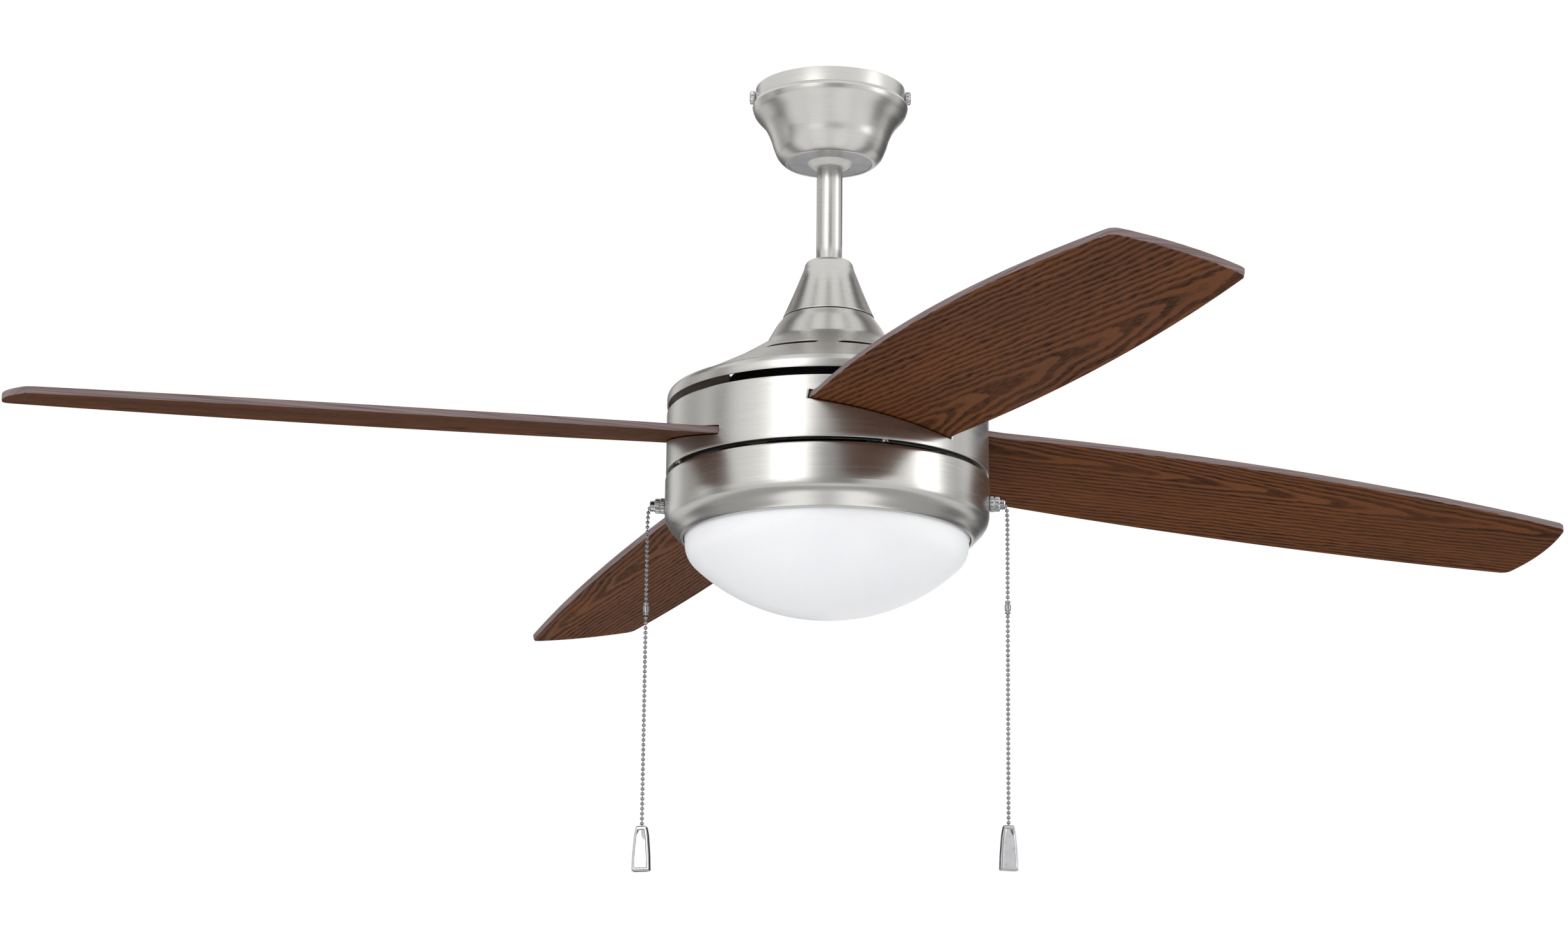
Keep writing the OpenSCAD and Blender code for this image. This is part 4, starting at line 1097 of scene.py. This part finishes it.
        sectors = [Sector(60, 120, 28, window), Sector(120, 420, 140)]
        wall = PiercedWall(path, sectors, (start, end), steps_along=10, rings=7)
        piece = faced_out(wall.shape()).piece("lower_ring", [Kit.RING_NICKEL], closed=False)
        settle(thickened(piece, self.ring_wall), Body.SUSPENSION, "nickel", "light_ring")

    def build(self) -> None:
        """Builds all five."""
        self.rod()
        self.yoke_cover()
        self.top_cover()
        self.band()
        self.ring()


@dataclass
class Bowl:
    """The opal glass bowl: a straight rim, a round corner and a shallow dome."""

    radius: float = 114.0
    dome: float = 157.0
    corner: float = 21.0
    glass: float = 3.0

    def face(self, inset: float, top: float, level: float) -> Array:
        """Radius and height down one face of the glass.

        Args:
            inset: How far inside the outer face.
            top: Level of the rim.
            level: Level of the corner's centre.

        Returns:
            The face's points, from the rim to the pole.
        """
        reach, radius = self.dome - self.corner, self.radius - self.corner
        centre = level + math.sqrt(reach**2 - radius**2)
        turn = math.degrees(math.asin(radius / reach))
        return np.vstack([[[self.radius - inset, top], [self.radius - inset, level]],
                          arc((radius, level), self.corner - inset, -5, turn - 90, 12),
                          arc((0, centre), self.dome - inset, turn - 91.5, -90, 30)])

    def build(self) -> None:
        """Builds the glass with a rounded rim."""
        top, apex = top_of("glass_bowl"), foot_of("glass_bowl")
        reach, radius = self.dome - self.corner, self.radius - self.corner
        level = apex + self.dome - math.sqrt(reach**2 - radius**2)
        section = np.vstack([self.face(0, top - 0.6, level), self.face(self.glass, top - 0.6, level)[::-1],
                             [[self.radius - self.glass + 0.8, top], [self.radius - 0.8, top]]])
        settle(lathe(section, 192).piece("opal_bowl", [Kit.OPAL], crease=60), Body.BOWL, "opal", "glass_bowl")


@dataclass
class Blade:
    """One oak blade: a flat board whose edges swell and whose tip bows."""

    number: int
    root: float = 92.0
    reach: float = 660.33
    radius: float = Shared.HOUSING_RADIUS
    root_width: float = 120.0
    tip_width: float = 99.0
    lead_belly: float = 17.5
    trail_belly: float = 11.0
    thickness: float = 5.4
    corner: float = 6.0
    bow: float = 7.0
    veneer_step: float = 0.83
    rows: int = 61
    columns: int = 29
    crowding: float = 0.62

    def outline(self, along: Array, side: Array) -> tuple[Array, Array]:
        """Distance along the blade and across it for shares of its length and half-width.

        The tip bows as a parabola and its corners are quarter circles; the half-width runs straight from root
        to tip with a parabola of its own side's belly on top.

        Args:
            along: 0 at the root, 1 at the tip.
            side: -1 at the leading edge, 1 at the trailing edge.

        Returns:
            Distance along and distance across.
        """
        half_tip = self.tip_width / 2
        into = np.clip(np.abs(side) * half_tip - (half_tip - self.corner), 0, self.corner)
        rounding = self.corner - np.sqrt(np.maximum(self.corner**2 - into**2, 0))
        end = self.reach - self.bow * side**2 - rounding
        u = self.root + along * (end - self.root)
        t = np.clip((u - self.radius) / (self.reach - self.radius), 0, 1)
        belly = np.where(side < 0, self.lead_belly, self.trail_belly)
        half = (self.root_width + (self.tip_width - self.root_width) * t) / 2 + belly * 4 * t * (1 - t)
        return u, side * half

    def build(self) -> None:
        """Builds the board: two faces of a grid each and the strip between their borders."""
        along, even = np.linspace(0, 1, self.rows), np.linspace(-1, 1, self.columns)
        side = np.sign(even) * np.abs(even) ** self.crowding
        a, s = np.meshgrid(along, side, indexing="ij")
        u, v = self.outline(a, s)
        mirror = 1 if self.number % 2 else -1
        layout = np.stack([u * MM + self.veneer_step * self.number, v * MM * mirror], axis=-1).reshape(-1, 2)
        flat = [np.stack([u, v, np.full_like(u, w)], axis=-1).reshape(-1, 3) for w in (0.0, self.thickness)]
        faces = grid_faces(len(along), len(side))
        rim = np.concatenate([np.arange(len(side)), np.arange(1, len(along)) * len(side) + len(side) - 1,
                              (len(along) - 1) * len(side) + np.arange(len(side) - 2, -1, -1),
                              np.arange(len(along) - 2, 0, -1) * len(side)])
        strip = np.vstack([flat[0][rim], flat[1][rim]])
        ones = [Shape(flat[0], faces, layout, np.zeros(len(faces))),
                Shape(flat[1], faces[:, ::-1], layout, np.zeros(len(faces))),
                Shape(strip, grid_faces(2, len(rim), False, True),
                      np.vstack([layout[rim], layout[rim]]), np.ones(len(rim)))]
        place = (Matrix.Rotation(math.radians(Shared.FIRST_BLADE + 90 * self.number), 4, "Z")
                 @ Matrix.Translation((0, 0, top_of("blade_band") - Shared.BLADE_DROP))
                 @ Matrix.Rotation(math.radians(Shared.BLADE_DROOP), 4, "Y")
                 @ Matrix.Rotation(math.radians(-Shared.BLADE_PITCH), 4, "X"))
        node = f"blade_{self.number + 1}"
        piece = turned_about(Shape.joined(ones), place).piece(f"oak_{node}", [Kit.OAK, Kit.EDGE])
        edge = piece.modifiers.new("edge", "BEVEL")
        edge.width, edge.segments = 0.7 * MM, 3
        edge.limit_method, edge.angle_limit = "ANGLE", math.radians(45)
        settle(piece, Body.ROTOR, "oak", node)


@dataclass
class ChainPull:
    """A bead chain out of its nozzle, with a coupling part way down and a wedge fob on its end."""

    body: Body
    name: str
    quarter: float
    fob_turn: float
    bead: float = 3.2
    pitch: float = 3.95
    first_bead: float = 0.35
    wire_radius: float = 0.36
    mouth: float = 142.2
    hang: float = 144.8
    fob_depth: float = 6.0
    fob_top: float = 9.0
    fob_foot: float = 14.5
    fob_ease: float = 1.4
    fob_squareness: float = 0.16
    rim: float = 1.7
    recess: float = 0.45

    def frame_turn(self) -> Matrix:
        """Turn from the pull's own plane to the fan's frame."""
        return Matrix.Rotation(math.radians(Shared.KIT_TURN + self.quarter), 4, "Z")

    def route(self) -> Array:
        """The chain's centreline in its own plane: out of the nozzle, over in a short curve, straight down.

        Returns:
            Points in millimetres.
        """
        start, foot = top_of(f"{self.name}_chain") - 2.6, foot_of(f"{self.name}_chain")
        bend = smooth_curve([[self.mouth, 0, start + 0.6], [self.mouth + 1.7, 0, start - 1.0],
                             [self.hang - 0.3, 0, start - 6], [self.hang, 0, start - 14]], 5)
        drop = np.linspace(start - 14, foot, 26)[1:]
        return np.vstack([bend, np.column_stack([np.full_like(drop, self.hang), 0 * drop, drop])])

    def chain(self) -> bpy.types.Object:
        """Returns:
            The chain's piece.
        """
        path = self.route()
        travelled = unrolled(path)
        level_top, level_foot = top_of(f"{self.name}_coupling"), foot_of(f"{self.name}_coupling")
        count = int(travelled[-1] // self.pitch)
        places = (np.arange(count) + self.first_bead) * self.pitch
        centres = np.column_stack([np.interp(places, travelled, path[:, k]) for k in range(3)])
        centres = centres[(centres[:, 2] > level_top - 0.5) | (centres[:, 2] < level_foot + 0.5)]
        ball = lathe(arc((0, 0), self.bead / 2, 90, -90, 6), 10, closed=False)
        points = (centres[:, None, :] + ball.points[None]).reshape(-1, 3)
        starts = np.arange(len(centres)) * len(ball.points)
        faces = (ball.faces[None] + starts[:, None, None]).reshape(-1, 4)
        a = np.linspace(0, 2 * np.pi, 6, endpoint=False)
        ring = self.wire_radius * np.column_stack([np.cos(a), np.sin(a), 0 * a])
        wire = Shape((path[:, None, :] + ring[None]).reshape(-1, 3),
                     grid_faces(len(path), len(ring), False, True))
        whole = turned_about(Shape.joined([Shape(points, faces), wire]), self.frame_turn())
        piece = whole.piece(f"{self.name}_bead_chain", [Kit.BEADS], crease=80)
        return settle(piece, self.body, "chrome", f"{self.name}_chain")

    def coupling(self) -> bpy.types.Object:
        """Builds the coupling: a barrel with a rolled bead at each end and a waist.

        Returns:
            The coupling's piece.
        """
        top, foot = top_of(f"{self.name}_coupling"), foot_of(f"{self.name}_coupling")
        r = self.bead / 2 + 0.8
        section = np.array([[1.7, top], [r - 0.7, top], [r - 0.2, top - 0.5], [r - 0.2, top - 1.1],
                            [r - 0.75, top - 1.7], [r - 0.75, top - 2.3], [r, top - 3.1], [r, foot + 3.1],
                            [r - 0.75, foot + 2.3], [r - 0.75, foot + 1.7], [r - 0.2, foot + 1.1],
                            [r - 0.2, foot + 0.5], [r - 0.7, foot], [1.7, foot]])
        shape = turned_about(lathe(section, 40), self.frame_turn() @ Matrix.Translation((self.hang, 0, 0)))
        piece = shape.piece(f"{self.name}_barrel_coupling", [Kit.BEADS], crease=28)
        return settle(piece, self.body, "chrome", f"{self.name}_coupling")

    def fob(self) -> bpy.types.Object:
        """Builds the fob. Its section at each height is a squarish oval of that height's width and depth; the
        panel on each face is a smooth step back inside an even rim.

        Returns:
            The fob's piece.
        """
        top, foot = top_of(f"{self.name}_fob"), foot_of(f"{self.name}_fob")
        height = top - foot
        ease = self.fob_ease
        z = np.concatenate([[0, 0.25, 0.7], np.linspace(ease, height - ease, 84),
                            [height - 0.7, height - 0.25, height]])
        widths = [self.fob_foot / 2, self.fob_foot / 2 - 0.4, self.fob_top / 2 + 1, self.fob_top / 2 - 0.5]
        half = np.interp(z / height, [0, 0.35, 0.8, 1], widths)
        half = np.convolve(np.pad(half, 6, mode="edge"), np.ones(13) / 13, mode="valid")
        past = np.clip(np.maximum(ease - z, z - (height - ease)), 0, ease)
        inset = ease - np.sqrt(np.clip(ease**2 - past**2, 0, None))
        turn = np.linspace(0, 2 * np.pi, 160, endpoint=False)[None, :]
        power = self.fob_squareness
        cos, sin = np.cos(turn), np.sin(turn)
        x = (half - inset * 0.8)[:, None] * np.sign(cos) * np.abs(cos) ** power
        y = (self.fob_depth / 2 - inset * 0.8)[:, None] * np.sign(sin) * np.abs(sin) ** power
        side = (half[:, None] - self.rim) - np.abs(x)
        end = np.minimum(z - self.rim - 0.8, height - self.rim - 1.2 - z)[:, None]
        inside = np.clip(np.minimum(side, end) / 0.7 + 0.5, 0, 1)
        y = y - np.sign(y) * self.recess * inside * inside * (3 - 2 * inside) * (np.abs(sin) ** power > 0.8)
        rows = np.stack([x, y, z[:, None] + 0 * x], axis=-1)
        closing = ((0, 0.0), (0, 0.6), (-1, 0.6), (-1, 0.0))
        caps = [rows[index] * (share, share, 1) for index, share in closing]
        points = np.vstack([caps[0], caps[1], rows.reshape(-1, 3), caps[2], caps[3]])
        shape = Shape(points, grid_faces(len(points) // turn.size, turn.size, False, True))
        place = (self.frame_turn() @ Matrix.Translation((self.hang, 0, foot))
                 @ Matrix.Rotation(math.radians(self.fob_turn), 4, "Z"))
        piece = turned_about(shape, place).piece(f"{self.name}_wedge_fob", [Kit.CHROME], crease=50)
        return settle(piece, self.body, "chrome", f"{self.name}_fob")

    def build(self) -> None:
        chain = self.chain()
        carried = [self.coupling(), self.fob()]


@dataclass
class NozzleSet:
    """The two chain nozzles and their knurled nuts on the light ring."""

    ring_radius: float = Shared.RING_RADIUS
    reach: float = 12.5
    root: float = 10.0
    nozzle_radius: float = 4.6
    bore: float = 2.2
    nut_radius: float = 6.45
    knurls: int = 22

    def placed(self, shape: Shape, level: float) -> list[Shape]:
        """The shape on both sides of the ring.

        Args:
            shape: A shape along Z whose height counts out from the fan's axis.
            level: Level of the nozzles.

        Returns:
            Two shapes.
        """
        lay = Matrix.Translation((0, 0, level)) @ Matrix.Rotation(math.pi / 2, 4, "Y")
        return [turned_about(shape, Matrix.Rotation(math.radians(Shared.KIT_TURN + a), 4, "Z") @ lay)
                for a in (0, 180)]

    def build(self) -> None:
        """Builds the ribbed barrels, then the flanged nuts with knurled sides."""
        low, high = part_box("nozzle_nuts")
        level = (low[2] + high[2]) / 2 / MM
        start, end = self.ring_radius - self.root, self.ring_radius + self.reach
        r, b = self.nozzle_radius, self.bore
        barrel = np.array([[b, start], [r - 0.4, start], [r - 0.4, end - 4.4], [r, end - 4.2], [r, end - 3.3],
                           [r - 0.5, end - 3.0], [r - 0.5, end - 2.6], [r, end - 2.3], [r, end - 1.5],
                           [r - 0.5, end - 1.2], [r - 0.5, end - 0.9], [r - 0.1, end - 0.6], [r - 0.6, end],
                           [b + 0.7, end], [b, end - 0.8]])
        pair = Shape.joined(self.placed(lathe(barrel, 56), level))
        piece = pair.piece("nozzle_barrels", [Kit.CHROME], crease=28)
        settle(piece, Body.SUSPENSION, "chrome", "chain_nozzles")
        n, x = self.nut_radius, self.ring_radius + 0.4
        nut = np.array([[r + 0.1, x], [n - 0.5, x], [n, x + 0.5], [n, x + 3.0], [n - 0.5, x + 3.5],
                        [n - 0.7, x + 3.7], [n - 0.4, x + 4.1], [n - 0.4, x + 7.3], [n - 0.9, x + 7.9],
                        [r + 0.1, x + 7.9]])

        def knurl(angle: Array, along: Array) -> Array:
            """Teeth round the nut: a clipped cosine of the angle."""
            toothed = (along > 0.15) & (along < 0.9) & (np.abs(along - 0.5) > 0.07)
            return -0.4 * np.clip(np.cos(angle * self.knurls), 0, 1) * toothed

        pair = Shape.joined(self.placed(lathe(nut, 132, ripple=knurl), level))
        piece = pair.piece("knurled_nuts", [Kit.CHROME], crease=28)
        settle(piece, Body.SUSPENSION, "chrome", "nozzle_nuts")


class PackedParts:
    """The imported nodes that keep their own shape."""

    SPECIAL: dict[str, Finish] = {"hanger_bracket": Kit.BRACKET}

    def build(self) -> None:
        """Dresses each node in its slot's finish."""
        slots = {part["node"]: part["material_slot"] for part in frame["record"]["subparts"]}
        for name, node in frame["nodes"].items():
            finish = self.SPECIAL.get(name, Kit.BY_SLOT[slots[name]])
            if not node.material_slots:
                node.data.materials.append(None)
            for place in node.material_slots:
                place.material = finish.material()


@dataclass
class Card:
    """A dark or light panel that stands round the fan for its metal to mirror."""

    azimuth: float
    width: float
    tone: float
    low: float = -2.2
    high: float = 3.0
    distance: float = 6.5


@dataclass
class Wedge:
    """A level panel between canopy and housing, mirrored by both."""

    start: float
    end: float
    tone: float
    inner: float = 0.05
    outer: float = 0.4
    level: float = -0.13


@dataclass
class SoftLight:
    """An upright area light that faces the fan."""

    name: str
    azimuth: float
    width: float
    power: float
    height: float = 2.6
    distance: float = 3.2
    level: float = 0.7


@dataclass
class Mat:
    """A level panel just over the floor, mirrored by what faces down."""

    low: tuple[float, float]
    high: tuple[float, float]
    tone: float


@dataclass
class Studio:
    """Camera, white surround, pale floor, soft lights and the panels that the metal mirrors."""

    camera_place: tuple[float, float, float] = (0.0124, -3.1761, -1.1395)
    tilt: float = 14.393
    roll: float = 0.378
    lens: float = 93.4
    shift: float = -0.03753
    floor_level: float = -2.3
    aim: Vector = field(default_factory=lambda: Vector((0, 0, -0.2)))
    cards: list[Card] = field(default_factory=lambda: [
        Card(-2.0, 14.0, 0.34), Card(14.0, 16.0, 0.2), Card(-81.0, 13.0, 0.06), Card(143.0, 40.0, 0.07),
        Card(-163.0, 33.0, 0.07), Card(-112.0, 26.0, 0.5), Card(98.0, 22.0, 0.5)])
    wedges: list[Wedge] = field(default_factory=lambda: [
        Wedge(-7.0, 6.0, 0.8), Wedge(6.0, 34.0, 1.1), Wedge(34.0, 44.0, 0.85), Wedge(44.0, 76.0, 1.04),
        Wedge(76.0, 102.0, 0.16), Wedge(-36.0, -7.0, 1.1), Wedge(-46.0, -36.0, 0.85),
        Wedge(-78.0, -46.0, 1.04), Wedge(-104.0, -78.0, 0.16), Wedge(102.0, 256.0, 0.9)])
    lights: list[SoftLight] = field(default_factory=lambda: [
        SoftLight("key", -26.0, 1.3, 20.0), SoftLight("fill", 74.0, 1.1, 17.0)])
    mats: list[Mat] = field(default_factory=lambda: [
        Mat((-3.0, -2.5), (3.0, 1.0), 0.42), Mat((-3.0, 1.0), (3.0, 4.0), 0.12),
        Mat((-0.85, -1.2), (-0.2, 0.3), 1.6), Mat((0.2, -1.2), (0.85, 0.3), 1.6)])
    floor_reach: float = 40.0
    floor_tone: float = 0.82
    mat_step: float = 0.02

    def camera(self) -> None:
        """Sets the camera up: level, tilted up, then rolled about its own axis."""
        data = bpy.data.cameras.new("camera")
        data.lens, data.sensor_width, data.shift_x = self.lens, 36.0, self.shift
        data.clip_start, data.clip_end = 0.05, 200.0
        camera = bpy.data.objects.new("camera", data)
        camera.matrix_world = (Matrix.Translation(self.camera_place)
                               @ Matrix.Rotation(math.radians(90 + self.tilt), 4, "X")
                               @ Matrix.Rotation(math.radians(self.roll), 4, "Z"))
        bpy.context.scene.collection.objects.link(camera)
        bpy.context.scene.camera = camera

    def surround(self) -> None:
        """A plain white surround."""
        world = bpy.data.worlds.new("surround")
        world.use_nodes = True
        world.node_tree.nodes["Background"].inputs[0].default_value = (1.0, 1.0, 1.0, 1.0)
        world.node_tree.nodes["Background"].inputs[1].default_value = 1.0
        bpy.context.scene.world = world
        bpy.context.scene.view_settings.view_transform = "Standard"

    def panel(self, name: str, corners: Array, tone: float, mirrored_only: bool = True) -> None:
        """A flat stage panel, which the camera never sees.

        Args:
            name: Its name.
            corners: Four corners in metres.
            tone: Grey from 0 to 1, or over 1 for a glow.
            mirrored_only: Whether it shows in mirroring metal alone and neither shades nor lights anything.
        """
        if tone > 1:
            grey: Finish = Glow(f"{name}_glow", tone)
        else:
            grey = Grained(f"{name}_grey", (tone,) * 3, (tone * 0.96,) * 3, 0.9, 0.0, 60.0, 0.0)
        panel = Shape(corners / MM, np.array([[0, 1, 2, 3]])).piece(name, [grey], closed=False)
        panel.visible_camera = False
        if mirrored_only:
            panel.visible_diffuse = panel.visible_shadow = False

    @staticmethod
    def level_corners(low: tuple[float, float], high: tuple[float, float], level: float) -> Array:
        """Corners of a level rectangle.

        Args:
            low: Least x and y.
            high: Greatest x and y.
            level: Height.

        Returns:
            Four corners.
        """
        return np.array([[*low, level], [high[0], low[1], level], [*high, level], [low[0], high[1], level]])

    @staticmethod
    def ways(start: float, end: float) -> Array:
        """Level directions of two azimuths in degrees, counted from the front."""
        spread = np.radians([start, end])
        return np.column_stack([np.sin(spread), -np.cos(spread)])

    def panels(self) -> None:
        """Builds the floor, the upright cards, the wedges and the mats."""
        reach = (self.floor_reach, self.floor_reach)
        floor = self.level_corners((-reach[0], -reach[1]), reach, self.floor_level)
        self.panel("floor", floor, self.floor_tone, mirrored_only=False)
        for number, card in enumerate(self.cards):
            half = card.width / 2
            first, last = card.distance * self.ways(card.azimuth - half, card.azimuth + half)
            corners = [[*first, card.low], [*last, card.low], [*last, card.high], [*first, card.high]]
            self.panel(f"card_{number}", np.array(corners), card.tone)
        for number, wedge in enumerate(self.wedges):
            first, last = self.ways(wedge.start, wedge.end)
            ends = (first * wedge.inner, first * wedge.outer, last * wedge.outer, last * wedge.inner)
            self.panel(f"wedge_{number}", np.array([[*end, wedge.level] for end in ends]), wedge.tone)
        for number, mat in enumerate(self.mats):
            level = self.floor_level + self.mat_step * (number + 1)
            self.panel(f"mat_{number}", self.level_corners(mat.low, mat.high, level), mat.tone)

    def lamps(self) -> None:
        """Builds the area lights."""
        for soft in self.lights:
            data = bpy.data.lights.new(soft.name, "AREA")
            data.shape, data.size, data.size_y, data.energy = "RECTANGLE", soft.width, soft.height, soft.power
            light = bpy.data.objects.new(soft.name, data)
            way = self.ways(soft.azimuth, soft.azimuth)[0]
            light.location = (soft.distance * way[0], soft.distance * way[1], soft.level)
            light.rotation_euler = (self.aim - light.location).to_track_quat("-Z", "Y").to_euler()
            bpy.context.scene.collection.objects.link(light)

    def build(self) -> None:
        """Builds the surround, the panels and the lights."""
        self.surround()
        self.panels()
        self.lamps()


def main() -> None:
    """Builds the fan's sub-assemblies in order, then its studio."""
    logging.basicConfig(level=logging.INFO, format="%(name)s: %(message)s")
    studio = Studio()
    studio.camera()
    ChainPull(Body.FAN_PULL, "fan", 0.0, 18.0).build()
    ChainPull(Body.LIGHT_PULL, "light", 180.0, -12.0).build()
    PackedParts().build()
    Canopy().build()
    Housing().build()
    Bowl().build()
    for number in range(4):
        Blade(number).build()
    NozzleSet().build()
    studio.build()


if __name__ == "__main__":
    main()
